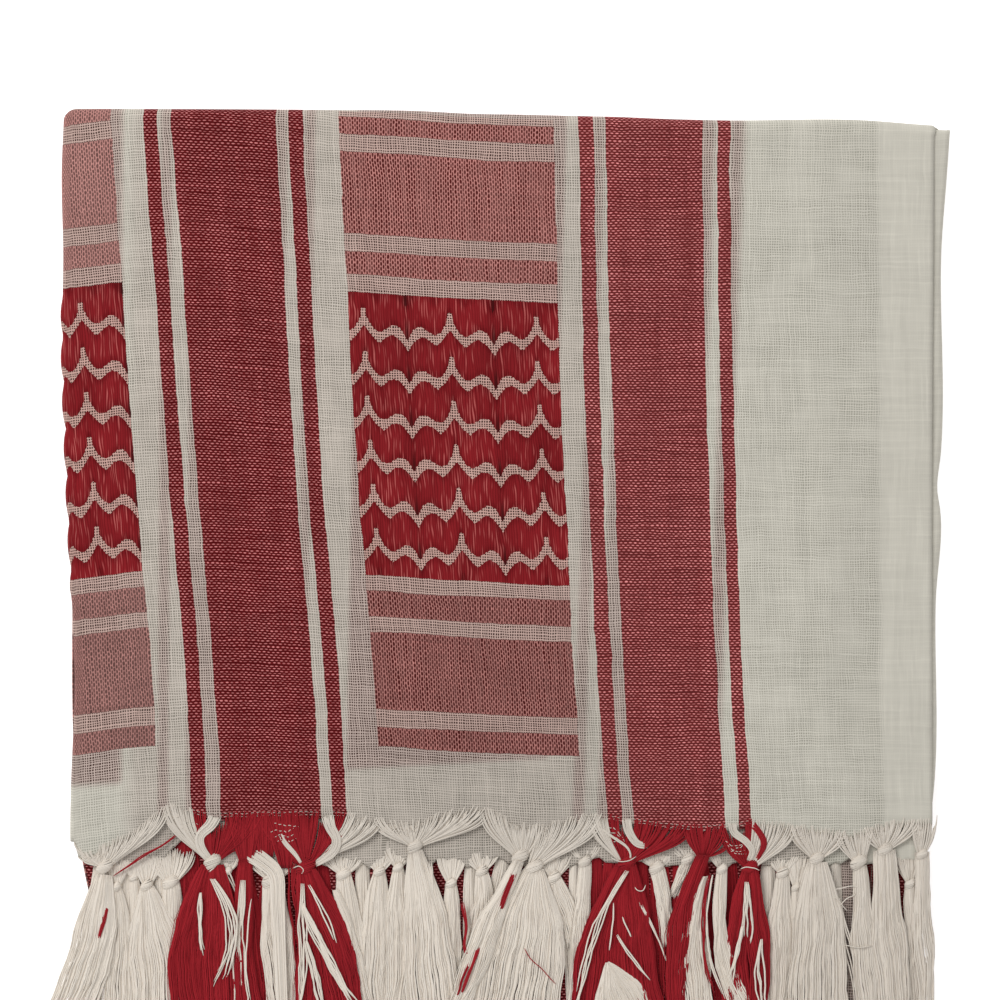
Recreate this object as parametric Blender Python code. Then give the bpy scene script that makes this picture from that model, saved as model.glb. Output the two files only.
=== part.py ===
"""A square cotton keffiyeh folded flat into a soft bundle, with its knotted fringe across the front.

Lengths are millimetres until a mesh is made. X runs across the bundle, Y runs up its face
to the turned-over fold, and Z is the height above the surface it lies on.
"""

import math

import bmesh
import bpy
import numpy as np

# The stack of folded layers
STACK_HEIGHT = 8.4  # floor to the face of the front flap
BACK_HEIGHT = 4.2  # floor to the face of the layers that reach below the front flap
WALL = 1.2  # thickness of the outer layer of cloth
GAP = 0.3  # clearance between neighbouring pieces
CURL_RADIUS = 1.9  # how tightly the outer layer turns round its left fold
CURL_ANGLE = math.radians(115)  # how far that turn goes
CORNER_RADIUS = 3.4  # rounding of the top corners
RIPPLE_HEIGHT = 0.4  # soft unevenness of the front flap
RIPPLE_LEVEL = 0.5  # mean of the unevenness, as a share of its height
CALM_FROM_LEFT = 19.0  # the unevenness fades out this far from the left fold
CALM_FROM_TOP = 25.0  # and from the top fold
UNDERSIDE_END = -161.0  # where the outer layer stops underneath, above the bottom fold
LAYER_HEIGHT = 0.9  # one hidden layer
LAYER_GROOVE = 0.6  # depth of the groove between two hidden layers
HIDDEN_INSET = 1.9  # hidden layers lie this far inside the left fold
HIDDEN_SHORTFALL = 1.2  # and end this far above the last pick of the front flap
CORNER_CUT = 2.8  # chamfer at the corners of the hidden layers

# Edges of the cloth. Left fold of the front flap: (y, x)
LEFT_FOLD = (
    (165.9, -143.6),
    (118.9, -144.2),
    (94.8, -145.1),
    (55.3, -144.2),
    (25.1, -142.4),
    (-18.4, -140.7),
    (-53.6, -141.7),
    (-82.0, -141.6),
)
# Left fold of the layers beneath: (y, x)
BACK_LEFT_FOLD = (
    (165.9, -143.6),
    (94.8, -144.2),
    (25.1, -141.8),
    (-53.6, -141.0),
    (-82.0, -139.0),
    (-113.2, -132.7),
    (-166.0, -127.6),
)
# Selvedge of the front flap: (y, x)
SELVEDGE = (
    (161.0, 147.6),
    (-76.0, 147.1),
)
# Right edge of the layers beneath, which peeks out past the selvedge: (y, x)
BACK_RIGHT_EDGE = (
    (160.0, 153.4),
    (146.1, 152.4),
    (125.0, 150.8),
    (51.9, 150.4),
    (38.5, 149.2),
    (33.5, 150.0),
    (1.7, 148.7),
    (-65.3, 147.7),
    (-82.1, 145.4),
    (-166.0, 146.7),
)
# Turned-over top fold: (x, y)
TOP_FOLD = (
    (-143.6, 165.9),
    (-51.3, 165.2),
    (9.0, 164.3),
    (17.8, 163.0),
    (69.3, 162.1),
    (117.9, 162.0),
    (153.4, 160.8),
)
# Last pick of the weave, where the warp ends are gathered into tassels: (x, y)
WEAVE_END = (
    (-145.0, -80.4),
    (-120.0, -78.0),
    (-108.2, -69.5),
    (-98.0, -71.7),
    (-75.0, -71.9),
    (-51.3, -72.0),
    (-31.0, -75.4),
    (-2.7, -70.7),
    (10.7, -76.0),
    (32.5, -72.7),
    (50.0, -74.6),
    (69.3, -76.7),
    (89.4, -74.7),
    (105.0, -76.8),
    (119.6, -78.7),
    (136.3, -74.7),
    (154.0, -75.4),
)
# Bottom fold of the layers beneath: (x, y)
BOTTOM_FOLD = (
    (-130.0, -164.0),
    (150.0, -165.9),
)

# Fringe
STRANDS = 5  # strands cut from each tassel
STRAND_STEPS = 4
STRIP_DEPTH = 1.6  # the narrow strip that joins one run of tassels
CLEAR_OF_BEND = 0.2  # least spacing of two columns along that strip
ROOT_WIDTH = 8.0
NECK_WIDTH = 3.2
KNOT_WIDTH = 4.8
KNOT_LENGTH = 4.0
STRAND_ROOM = 0.7  # share of its room that a strand fills
STRAND_TAPER = 0.35  # share of its thickness that a strand loses by its end
DROP_START = 0.3  # share of its length before a strand starts to sink
END_SPREAD = 12.4  # width of a tassel at its loose end
# Rows of tassels: (name, underside, face, rise of the knot above the face)
FRINGE_ROWS = (
    ("front", 6.2, 8.0, 0.7),
    ("lower", 4.6, 5.7, 0.0),
)
# Runs of one colour: (name, left end x, right end x, colour)
COLOUR_RUNS = (
    ("left_white", -141.0, -104.6, "white"),
    ("left_red", -104.2, -47.4, "red"),
    ("middle_white", -47.0, 35.0, "white"),
    ("right_red", 35.4, 88.3, "red"),
    ("right_white", 88.7, 147.0, "white"),
)
# Tassels of the front row: (root x, knot x, knot y, end x, end y, end height)
FRONT_TASSELS = (
    (-132.0, -130.0, -88.5, -146.9, -147.5, 1.4),
    (-121.0, -122.3, -93.5, -127.5, -152.5, 6.4),
    (-110.5, -111.5, -92.0, -113.5, -149.5, 6.4),
    (-96.0, -93.8, -87.0, -98.5, -151.0, 6.4),
    (-77.5, -77.4, -92.5, -79.5, -148.5, 6.4),
    (-60.0, -62.6, -89.5, -59.5, -153.0, 6.4),
    (-40.0, -38.2, -87.0, -40.5, -147.5, 6.4),
    (-24.0, -26.1, -84.5, -21.5, -151.5, 6.4),
    (-5.0, -3.0, -87.0, -2.5, -149.0, 6.4),
    (11.0, 10.7, -85.5, 12.5, -152.5, 6.4),
    (28.0, 31.0, -85.0, 27.0, -147.0, 6.4),
    (46.5, 45.2, -87.0, 44.5, -151.0, 6.4),
    (64.5, 66.0, -86.5, 63.0, -148.0, 6.4),
    (82.0, 85.1, -87.5, 84.5, -152.0, 6.4),
    (98.0, 98.8, -87.0, 101.0, -149.5, 6.4),
    (112.0, 108.5, -85.0, 115.0, -146.5, 6.4),
    (127.0, 130.6, -83.5, 130.0, -151.5, 6.4),
    (140.5, 139.5, -88.0, 144.0, -148.5, 6.4),
)
# Tassels of the lower row: the same columns
LOWER_TASSELS = (
    (-116.5, -116.5, -93.5, -119.5, -146.0, 5.1),
    (-87.0, -86.0, -93.5, -89.0, -149.0, 5.1),
    (-70.0, -69.7, -94.0, -70.5, -152.0, 5.1),
    (-54.0, -52.9, -93.5, -50.5, -147.0, 5.1),
    (-33.0, -32.2, -91.5, -31.0, -150.5, 5.1),
    (-15.0, -14.4, -91.0, -12.0, -147.5, 5.1),
    (3.5, 4.4, -93.0, 4.5, -151.0, 5.1),
    (20.5, 20.4, -91.0, 19.5, -148.0, 5.1),
    (40.0, 41.0, -93.5, 38.0, -151.5, 5.1),
    (55.0, 55.0, -93.0, 53.5, -147.0, 5.1),
    (75.0, 77.0, -91.5, 74.0, -150.0, 5.1),
    (92.8, 93.0, -93.5, 92.5, -146.5, 5.1),
    (118.0, 115.5, -92.5, 122.0, -151.0, 5.1),
    (133.5, 137.0, -91.5, 137.5, -148.5, 5.1),
)

# Waves of the front flap: (share of the height, radians per mm of x, radians per mm of y, start)
RIPPLE_WAVES = (
    (0.15, 0.032, 0.023, 0.8),
    (0.15, 0.032, -0.023, 2.4),
    (0.18, 0.059, -0.019, 0.0),
)

# Counts of rows and columns
CURL_COLUMNS = 4
FLAP_ROWS = 14
ROLL_ROWS = 7
UNDERSIDE_ROWS = 8
SIDE_POINTS = 14
SHORT_SIDE_POINTS = 4
END_POINTS = len(WEAVE_END) - 2
TOP_POINTS = 12

# Colours of the yarn
WHITE_YARN = (0.56, 0.52, 0.44)
RED_YARN = (0.30, 0.012, 0.018)
WOVEN_MIX = (0.42, 0.24, 0.20)
HIDDEN_CLOTH = (0.47, 0.42, 0.36)
ROUGHNESS = 0.9


def along(table, at):
    """Second column of a table read at a value of its first, straight between rows."""
    rows = np.array(sorted(table))
    return np.interp(at, rows[:, 0], rows[:, 1])


def smooth(low, high, at):
    """Rises from 0 to 1 between low and high with level ends."""
    share = np.clip((at - low) / (high - low), 0.0, 1.0)
    return share * share * (3.0 - 2.0 * share)


def corner_inset(below_top):
    """How far a rounded corner draws an edge in, at a distance below the top fold."""
    reach = np.clip(CORNER_RADIUS - below_top, 0.0, CORNER_RADIUS)
    return CORNER_RADIUS - np.sqrt(CORNER_RADIUS**2 - reach**2)


def fabric(name, colour):
    """A matt yarn material."""
    made = bpy.data.materials.new(name)
    made.use_nodes = True
    shader = made.node_tree.nodes["Principled BSDF"]
    shader.inputs["Base Color"].default_value = (*colour, 1.0)
    shader.inputs["Roughness"].default_value = ROUGHNESS
    return made


def add_piece(name, points, faces, material):
    """Makes one closed, outward-facing object from points in millimetres."""
    mesh = bpy.data.meshes.new(name)
    mesh.from_pydata([tuple(point) for point in np.asarray(points) / 1000.0], [], faces)
    edit = bmesh.new()
    edit.from_mesh(mesh)
    bmesh.ops.recalc_face_normals(edit, faces=edit.faces)
    if edit.calc_volume(signed=True) < 0:
        bmesh.ops.reverse_faces(edit, faces=edit.faces)
    edit.to_mesh(mesh)
    edit.free()
    mesh.materials.append(material)
    piece = bpy.data.objects.new(name, mesh)
    bpy.context.scene.collection.objects.link(piece)
    return piece


def ripple(x, y):
    """Soft unevenness of the front flap, level towards its folds."""
    waves = sum(
        share * np.sin(x * across + y * up + start) for share, across, up, start in RIPPLE_WAVES
    )
    calm = smooth(0.0, CALM_FROM_TOP, along(TOP_FOLD, x) - STACK_HEIGHT - y)
    calm = calm * smooth(0.0, CALM_FROM_LEFT, x - along(LEFT_FOLD, y))
    return RIPPLE_HEIGHT * calm * (RIPPLE_LEVEL + waves)


def flap_row(share, columns):
    """One line across the front flap: points and outward directions."""
    y = along(WEAVE_END, 0.0) + share * (along(TOP_FOLD, 0.0) - along(WEAVE_END, 0.0))
    left = along(LEFT_FOLD, y)
    x = left + columns * (along(SELVEDGE, y) - left)
    low = along(WEAVE_END, x)
    high = along(TOP_FOLD, x) - STACK_HEIGHT / 2.0
    y = low + share * (high - low)
    z = STACK_HEIGHT + ripple(x, y)
    return np.stack([x, y, z], axis=1), (0.0, 0.0, 1.0)


def right_corner():
    """Height of the top right corner up the face."""
    return SELVEDGE[0][0]


def roll_row(share, columns):
    """One line across the turned-over top fold."""
    angle = math.pi * share
    radius = STACK_HEIGHT / 2.0
    below = radius * (1.0 - math.sin(angle))
    inset = corner_inset(below)
    left = along(LEFT_FOLD, along(TOP_FOLD, 0.0)) + inset
    right = along(SELVEDGE, along(TOP_FOLD, 0.0)) - inset
    right += share * (along(BACK_RIGHT_EDGE, right_corner()) - along(SELVEDGE, right_corner()))
    x = left + columns * (right - left)
    y = along(TOP_FOLD, x) - below
    z = np.full_like(x, radius + radius * math.cos(angle))
    return np.stack([x, y, z], axis=1), (0.0, math.sin(angle), math.cos(angle))


def underside_row(share, columns):
    """One line across the flat underside."""
    high = along(TOP_FOLD, 0.0) - STACK_HEIGHT / 2.0
    y = high + share * (UNDERSIDE_END - high)
    left = along(BACK_LEFT_FOLD, y)
    x = left + columns * (along(BACK_RIGHT_EDGE, y) - left)
    high = along(TOP_FOLD, x) - STACK_HEIGHT / 2.0
    y = high + share * (UNDERSIDE_END - high)
    return np.stack([x, y, np.zeros_like(x)], axis=1), (0.0, 0.0, -1.0)


def column_shares():
    """Columns across the cloth, one for each bend of the weave's end, as shares of the width."""
    end = along(WEAVE_END, 0.0)
    left, right = along(LEFT_FOLD, end), along(SELVEDGE, end)
    bends = [(x - left) / (right - left) for x, _ in WEAVE_END if left < x < right]
    return np.array([0.0, *bends, 1.0])


def outer_line(row, share, inward):
    """A line across the outer layer with its left curl, on the face or a wall's depth inside."""
    flat, outward = row(share, column_shares())
    outward = np.array(outward)
    radius = CURL_RADIUS - inward
    angles = np.linspace(CURL_ANGLE, 0.0, CURL_COLUMNS + 1)[:-1]
    curl = np.repeat(flat[:1], CURL_COLUMNS, axis=0)
    curl[:, 0] += CURL_RADIUS - radius * np.sin(angles)
    curl -= np.outer(CURL_RADIUS - radius * np.cos(angles), outward)
    flat = flat - inward * outward
    flat[0, 0] += CURL_RADIUS
    return np.concatenate([curl, flat])


def outer_layer():
    """The outer layer: front flap, turned over the top fold and flat along the underside."""
    lines = [(flap_row, share) for share in np.linspace(0.0, 1.0, FLAP_ROWS + 1)]
    lines += [(roll_row, share) for share in np.linspace(0.0, 1.0, ROLL_ROWS + 1)[1:-1]]
    lines += [(underside_row, share) for share in np.linspace(0.0, 1.0, UNDERSIDE_ROWS + 1)]
    face = np.array([outer_line(row, share, 0.0) for row, share in lines])
    back = np.array([outer_line(row, share, WALL) for row, share in lines])
    rows, columns = face.shape[:2]
    points = np.concatenate([face.reshape(-1, 3), back.reshape(-1, 3)])
    index = np.arange(2 * rows * columns).reshape(2, rows, columns)
    faces = []
    for side in index:
        for i in range(rows - 1):
            for j in range(columns - 1):
                faces.append((side[i, j], side[i, j + 1], side[i + 1, j + 1], side[i + 1, j]))
    rim = [(0, j) for j in range(columns)]
    rim += [(i, columns - 1) for i in range(1, rows)]
    rim += [(rows - 1, j) for j in range(columns - 2, -1, -1)]
    rim += [(i, 0) for i in range(rows - 2, 0, -1)]
    for here, there in zip(rim, rim[1:] + rim[:1]):
        faces.append((index[(0, *here)], index[(0, *there)], index[(1, *there)], index[(1, *here)]))
    return points, [tuple(int(i) for i in face) for face in faces]


def hidden_top(x, height, inset):
    """Top edge of a hidden layer, inside the turned-over fold."""
    radius = STACK_HEIGHT / 2.0
    inner = radius - WALL - GAP
    bulge = math.sqrt(max(inner**2 - (height - radius) ** 2, 0.0))
    return along(TOP_FOLD, x) - radius + bulge - inset - GAP


def hidden_ring(height, inset, below_flap):
    """Outline of the hidden layers at one height, drawn in by an inset."""
    top = along(TOP_FOLD, 0.0) - STACK_HEIGHT
    flap_end = along(WEAVE_END, 0.0)
    left_y = np.linspace(top, flap_end, SIDE_POINTS)
    right_y = left_y[::-1]
    left = np.stack([along(BACK_LEFT_FOLD, left_y) + HIDDEN_INSET + inset, left_y], axis=1)
    right = np.stack([along(BACK_RIGHT_EDGE, right_y) - inset, right_y], axis=1)
    top_x = np.linspace(right[-1, 0] - CORNER_CUT, left[0, 0] + CORNER_CUT, TOP_POINTS)
    over = np.stack([top_x, hidden_top(top_x, height, 0.0)], axis=1)
    if below_flap:
        fold = along(BOTTOM_FOLD, 0.0)
        down_y = np.linspace(flap_end, fold + CORNER_CUT, SHORT_SIDE_POINTS + 1)[1:]
        down = np.stack([along(BACK_LEFT_FOLD, down_y) + HIDDEN_INSET + inset, down_y], axis=1)
        up_y = down_y[::-1]
        up = np.stack([along(BACK_RIGHT_EDGE, up_y) - inset, up_y], axis=1)
        low_x = np.linspace(down[-1, 0] + CORNER_CUT, up[0, 0] - CORNER_CUT, END_POINTS)
        low = np.stack([low_x, along(BOTTOM_FOLD, low_x) + inset], axis=1)
        lower = np.concatenate([down, low, up])
    else:
        ends = (left[-1, 0], right[0, 0])
        near = np.linspace(0.1, 0.9, SHORT_SIDE_POINTS) * CORNER_CUT
        middle = np.array([x for x, _ in WEAVE_END[1:-1]])
        low_x = np.concatenate([ends[0] + near, middle, ends[1] - near[::-1]])
        lower = np.stack([low_x, along(WEAVE_END, low_x) + HIDDEN_SHORTFALL + inset], axis=1)
        left[-1, 1] = lower[0, 1] + CORNER_CUT / 3.0
        right[0, 1] = lower[-1, 1] + CORNER_CUT / 3.0
    outline = np.concatenate([left, lower, right, over])
    return np.column_stack([outline, np.full(len(outline), height)])


def hidden_layers():
    """All the layers inside, as one solid that is grooved round its edges."""
    low = WALL + GAP
    rings = []
    for below_flap, start, end in (
        (True, low, BACK_HEIGHT),
        (False, BACK_HEIGHT, STACK_HEIGHT - WALL - GAP),
    ):
        count = round((end - start) / LAYER_HEIGHT)
        step = (end - start) / count
        for layer in range(count):
            bottom = start + layer * step
            rings.append(hidden_ring(bottom, LAYER_GROOVE, below_flap))
            rings.append(hidden_ring(bottom + step / 2.0, 0.0, below_flap))
        rings.append(hidden_ring(end, LAYER_GROOVE, below_flap))
    around = len(rings[0])
    points = np.concatenate(rings)
    faces = [tuple(range(around))]
    for ring in range(len(rings) - 1):
        for i in range(around):
            here = ring * around + i
            there = ring * around + (i + 1) % around
            faces.append((here, there, there + around, here + around))
    last = (len(rings) - 1) * around
    faces.append(tuple(last + i for i in range(around))[::-1])
    return points, faces


def tassel_columns(centre, width):
    """Both edges of each strand across a tassel, left to right."""
    room = width / (STRANDS - 1 + STRAND_ROOM)
    starts = centre - width / 2.0 + room * np.arange(STRANDS)
    return np.stack([starts, starts + STRAND_ROOM * room], axis=1).reshape(-1)


def ring_of(columns, y, bottom, face):
    """Points over and under a set of columns: the upper row, then the lower row."""
    y = np.broadcast_to(y, columns.shape)
    upper = np.stack([columns, y, np.full_like(columns, face)], axis=1)
    lower = np.stack([columns, y, np.full_like(columns, bottom)], axis=1)
    return np.concatenate([upper, lower])


def strip_line(x, depth):
    """Where the strip's edge lies below the last pick of the weave."""
    return along(WEAVE_END, x) - GAP - depth


def bends_between(left, right):
    """Bends of the weave's end that lie between two places across the cloth."""
    return [x for x, _ in WEAVE_END if left + CLEAR_OF_BEND < x < right - CLEAR_OF_BEND]


def head_rings(tassel, bottom, face, rise):
    """Rings from the gathered root to below the knot."""
    knot_x, knot_y = tassel[1], tassel[2]
    return [
        ring_of(tassel_columns(knot_x, NECK_WIDTH), knot_y + KNOT_LENGTH, bottom, face),
        ring_of(tassel_columns(knot_x, KNOT_WIDTH), knot_y, bottom, face + rise),
        ring_of(tassel_columns(knot_x, NECK_WIDTH), knot_y - KNOT_LENGTH, bottom, face),
    ]


def strand_sections(tassel, strand, bottom, face):
    """Four corners of one strand at each step from the knot to its loose end."""
    _, knot_x, knot_y, end_x, end_y, end_z = tassel
    starts = tassel_columns(knot_x, NECK_WIDTH)[2 * strand : 2 * strand + 2]
    ends = tassel_columns(end_x, END_SPREAD)[2 * strand : 2 * strand + 2]
    half = (face - bottom) / 2.0
    sections = []
    for step in range(1, STRAND_STEPS + 1):
        share = step / STRAND_STEPS
        fan = math.sin(share * math.pi / 2.0)
        left, right = starts + fan * (ends - starts)
        y = knot_y - KNOT_LENGTH + share * (end_y - knot_y + KNOT_LENGTH)
        middle = bottom + half + smooth(DROP_START, 1.0, share) * (end_z - bottom - half)
        thick = half * (1.0 - STRAND_TAPER * share)
        high, low = middle + thick, middle - thick
        sections.append([(left, y, high), (right, y, high), (right, y, low), (left, y, low)])
    return sections


def fringe_run(tassels, left_end, right_end, bottom, face, rise):
    """A narrow strip below the weave with the heads and strands of its tassels."""
    tassels = sorted(tassels)
    columns = [left_end]
    roots = []
    for tassel in tassels:
        across = tassel_columns(tassel[0], ROOT_WIDTH)
        columns.extend(bends_between(columns[-1], across[0]))
        roots.append(len(columns))
        columns.extend(across)
    columns.extend(bends_between(columns[-1], right_end))
    columns = np.array(columns + [right_end])
    count = len(columns)
    points = list(ring_of(columns, strip_line(columns, 0.0), bottom, face))
    points += list(ring_of(columns, strip_line(columns, STRIP_DEPTH), bottom, face))
    inner, inner_low, outer, outer_low = (np.arange(count) + count * i for i in range(4))
    faces = []
    for i in range(count - 1):
        faces.append((inner[i], inner[i + 1], outer[i + 1], outer[i]))
        faces.append((inner[i], inner_low[i], inner_low[i + 1], inner[i + 1]))
        faces.append((inner_low[i], outer_low[i], outer_low[i + 1], inner_low[i + 1]))
    for i in (0, count - 1):
        faces.append((inner[i], outer[i], outer_low[i], inner_low[i]))
    width = 2 * STRANDS
    rooted = {root + i for root in roots for i in range(width - 1)}
    for i in range(count - 1):
        if i not in rooted:
            faces.append((outer[i], outer[i + 1], outer_low[i + 1], outer_low[i]))
    for tassel, root in zip(tassels, roots):
        upper = [int(outer[root + i]) for i in range(width)]
        lower = [int(outer_low[root + i]) for i in range(width)]
        add_tassel(points, faces, tassel, (upper, lower), (bottom, face, rise))
    return np.array(points), [tuple(int(i) for i in face) for face in faces]


def add_tassel(points, faces, tassel, root, heights):
    """Adds one head and its strands, grown from the root's columns on the strip."""
    upper, lower = root
    width = len(upper)
    for ring in head_rings(tassel, *heights):
        first = len(points)
        points.extend(ring)
        next_upper = list(range(first, first + width))
        next_lower = list(range(first + width, first + 2 * width))
        for i in range(width - 1):
            faces.append((upper[i], upper[i + 1], next_upper[i + 1], next_upper[i]))
            faces.append((lower[i + 1], lower[i], next_lower[i], next_lower[i + 1]))
        faces.append((lower[0], upper[0], next_upper[0], next_lower[0]))
        faces.append((upper[-1], lower[-1], next_lower[-1], next_upper[-1]))
        upper, lower = next_upper, next_lower
    for i in range(1, width - 1, 2):
        faces.append((upper[i], upper[i + 1], lower[i + 1], lower[i]))
    for strand in range(STRANDS):
        i = 2 * strand
        loop = [upper[i], upper[i + 1], lower[i + 1], lower[i]]
        for section in strand_sections(tassel, strand, *heights[:2]):
            following = list(range(len(points), len(points) + 4))
            points.extend(np.array(section))
            for corner in range(4):
                after = (corner + 1) % 4
                faces.append((loop[corner], loop[after], following[after], following[corner]))
            loop = following
        faces.append(tuple(loop))


def add_fringe(yarns):
    """Every run of every row of tassels, one piece for each strip."""
    for (row, bottom, face, rise), tassels in zip(FRINGE_ROWS, (FRONT_TASSELS, LOWER_TASSELS)):
        for run, left_end, right_end, colour in COLOUR_RUNS:
            inside = [tassel for tassel in tassels if left_end < tassel[0] < right_end]
            points, faces = fringe_run(inside, left_end, right_end, bottom, face, rise)
            add_piece(f"{row}_fringe_{run}", points, faces, yarns[colour])


def shade_smooth(piece):
    """Smooth shading over the rounded cloth."""
    piece.data.shade_smooth()


def main():
    for old in list(bpy.data.objects):
        bpy.data.objects.remove(old, do_unlink=True)
    yarns = {"white": fabric("white_yarn", WHITE_YARN), "red": fabric("red_yarn", RED_YARN)}
    front = add_piece("outer_layer", *outer_layer(), fabric("woven_cloth", WOVEN_MIX))
    shade_smooth(front)
    add_piece("hidden_layers", *hidden_layers(), fabric("hidden_cloth", HIDDEN_CLOTH))
    add_fringe(yarns)


main()
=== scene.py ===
# %% [markdown]
# A keffiyeh is a square cotton headscarf. It is woven loosely in plain weave, with red warp
# stripes along two sides, red weft bars and rows of long red floats between them, and its
# warp ends are knotted into tassels. Here it lies folded into a flat bundle, with one fringed
# end turned over to the front. Every size below is in millimetres: X runs across the bundle,
# Y runs up its face to the turned-over fold, and Z is the height above the table.

# %% The fixed frame
import math

import bpy
import numpy as np
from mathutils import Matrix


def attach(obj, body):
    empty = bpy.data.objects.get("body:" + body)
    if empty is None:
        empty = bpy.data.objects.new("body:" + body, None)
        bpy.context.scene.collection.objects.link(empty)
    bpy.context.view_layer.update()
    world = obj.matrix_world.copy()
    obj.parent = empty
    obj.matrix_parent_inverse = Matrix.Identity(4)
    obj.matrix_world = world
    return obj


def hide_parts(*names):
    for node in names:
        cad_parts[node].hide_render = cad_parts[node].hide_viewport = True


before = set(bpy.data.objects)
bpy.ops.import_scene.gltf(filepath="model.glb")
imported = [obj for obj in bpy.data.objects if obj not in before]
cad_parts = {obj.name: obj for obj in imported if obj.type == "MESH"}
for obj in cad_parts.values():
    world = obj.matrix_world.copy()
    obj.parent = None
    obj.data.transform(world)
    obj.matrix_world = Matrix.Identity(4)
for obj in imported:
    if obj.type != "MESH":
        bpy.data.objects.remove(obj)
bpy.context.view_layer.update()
MM = 0.001
chance = np.random.default_rng(7)
print("nodes to dress:", sorted(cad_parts))

# %% [markdown]
# The bundle is looked at from straight above, as flat textiles are shown in a shop. A long lens
# keeps the edges parallel. The light could be one lamp, but cloth needs a soft sky for its
# even tone, so a bright world does most of the work, and one wide lamp from the upper left
# gives the knots and yarns a lit and a shaded side.

# %% Camera and light
VIEW_CENTRE = (2.3, 35.2)
VIEW_WIDTH = 335.0
FACE_HEIGHT = 8.0
LENS, SENSOR = 85.0, 36.0
SKY_STRENGTH = 0.62
LAMP_PLACE, LAMP_SIZE = (-0.7, 0.75, 1.1), 0.7  # metres
LAMP_POWER = 11.0  # watts


def aim(thing, target):
    """Turns a lamp or camera so that its -Z axis points from where it stands to a target."""
    away = np.array(thing.location) - np.array(target)
    flat = math.hypot(away[0], away[1])
    thing.rotation_euler = (math.atan2(flat, away[2]), 0.0, math.atan2(away[0], -away[1]))


def stand_camera():
    """A camera straight above the face, at the distance where the lens takes in the width."""
    lens = bpy.data.cameras.new("camera")
    lens.lens = LENS
    lens.sensor_width = SENSOR
    lens.clip_start = 0.01
    camera = bpy.data.objects.new("camera", lens)
    distance = VIEW_WIDTH * LENS / SENSOR
    camera.location = (VIEW_CENTRE[0] * MM, VIEW_CENTRE[1] * MM, (FACE_HEIGHT + distance) * MM)
    bpy.context.scene.collection.objects.link(camera)
    bpy.context.scene.camera = camera
    return distance


def hang_lamp(name, place, size, power):
    """A square lamp aimed at the middle of the bundle."""
    glow = bpy.data.lights.new(name, "AREA")
    glow.size = size
    glow.energy = power
    lamp = bpy.data.objects.new(name, glow)
    lamp.location = place
    aim(lamp, (0.0, 0.0, 0.0))
    bpy.context.scene.collection.objects.link(lamp)


def light_world(strength):
    """An even white sky."""
    world = bpy.data.worlds.new("soft_sky")
    world.use_nodes = True
    sky = world.node_tree.nodes["Background"]
    sky.inputs["Color"].default_value = (1.0, 1.0, 1.0, 1.0)
    sky.inputs["Strength"].default_value = strength
    bpy.context.scene.world = world


print("camera stands", round(stand_camera()), "mm above the cloth")
light_world(SKY_STRENGTH)
hang_lamp("window", LAMP_PLACE, LAMP_SIZE, LAMP_POWER)
bpy.context.scene.view_settings.view_transform = "Standard"
bpy.context.scene.view_settings.look = "None"

# %% [markdown]
# The outline of a soft bundle is neither a rectangle nor noise. Each edge is a short table of
# places where its line bends, read along cubic curves that pass through every row with the
# mean slope of its neighbours. The shape of the whole then follows from a handful of sizes.

# %% The edges of the bundle
STACK_HEIGHT = 8.4
CLOTH = 0.5  # thickness of one layer of this open cotton
FOLD_WIDTH, FOLD_DEPTH = 1.9, STACK_HEIGHT / 2.0  # half-axes of the rounded left fold
FOLD_ANGLE = math.radians(93)
UNDERSIDE_END = -161.0

# Lines that run up the bundle: (y, x)
LEFT_FOLD = ((165.9, -144.4), (149.0, -145.1), (118.9, -144.6), (94.8, -145.0), (55.3, -143.9),
             (25.1, -142.6), (-18.4, -140.8), (-53.6, -142.0), (-82.0, -142.5))
BACK_LEFT_FOLD = ((165.9, -143.6), (94.8, -144.2), (25.1, -141.8), (-53.6, -141.0),
                  (-82.0, -139.0), (-113.2, -132.7), (-166.0, -127.6))
SELVEDGE = ((161.0, 147.6), (40.0, 146.9), (-76.0, 147.1))
BACK_RIGHT_EDGE = ((160.0, 153.4), (146.1, 152.4), (125.0, 150.8), (51.9, 150.4),
                   (38.5, 149.2), (33.5, 150.0), (1.7, 148.7), (-65.3, 147.7),
                   (-82.1, 145.4), (-166.0, 146.7))
# Lines that run across it: (x, y)
TOP_FOLD = ((-143.6, 166.9), (-58.0, 166.5), (-24.5, 166.1), (-7.7, 165.2), (9.0, 164.9),
            (25.8, 164.5), (42.5, 164.1), (59.3, 163.4), (76.0, 163.0), (126.3, 162.9),
            (143.0, 161.6), (153.4, 160.9))
WEAVE_END = ((-145.0, -76.0), (-141.5, -80.6), (-139.0, -84.8), (-136.0, -85.8),
             (-132.0, -84.0), (-128.0, -81.8), (-120.0, -78.0),
             (-108.2, -69.5), (-98.0, -71.7), (-75.0, -71.9),
             (-51.3, -72.0), (-31.0, -75.4), (-2.7, -70.7), (10.7, -76.0), (32.5, -72.7),
             (50.0, -74.6), (69.3, -76.7), (89.4, -74.7), (105.0, -76.8), (119.6, -78.7),
             (136.3, -74.7), (154.0, -75.4))
BOTTOM_FOLD = ((-130.0, -164.0), (150.0, -165.9))


def curve(table, at):
    """Reads (place, value) rows along cubics: each passes two rows with the slopes that the
    rows on either side give it."""
    rows = np.array(sorted(table))
    place, value = rows[:, 0], rows[:, 1]
    slope = np.gradient(value, place)
    at = np.clip(at, place[0], place[-1])
    i = np.clip(np.searchsorted(place, at) - 1, 0, len(place) - 2)
    span = place[i + 1] - place[i]
    t = (at - place[i]) / span
    rise = t * t * (3.0 - 2.0 * t)
    bend = span * t * (1.0 - t) * ((1.0 - t) * slope[i] - t * slope[i + 1])
    return value[i] + rise * (value[i + 1] - value[i]) + bend


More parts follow.
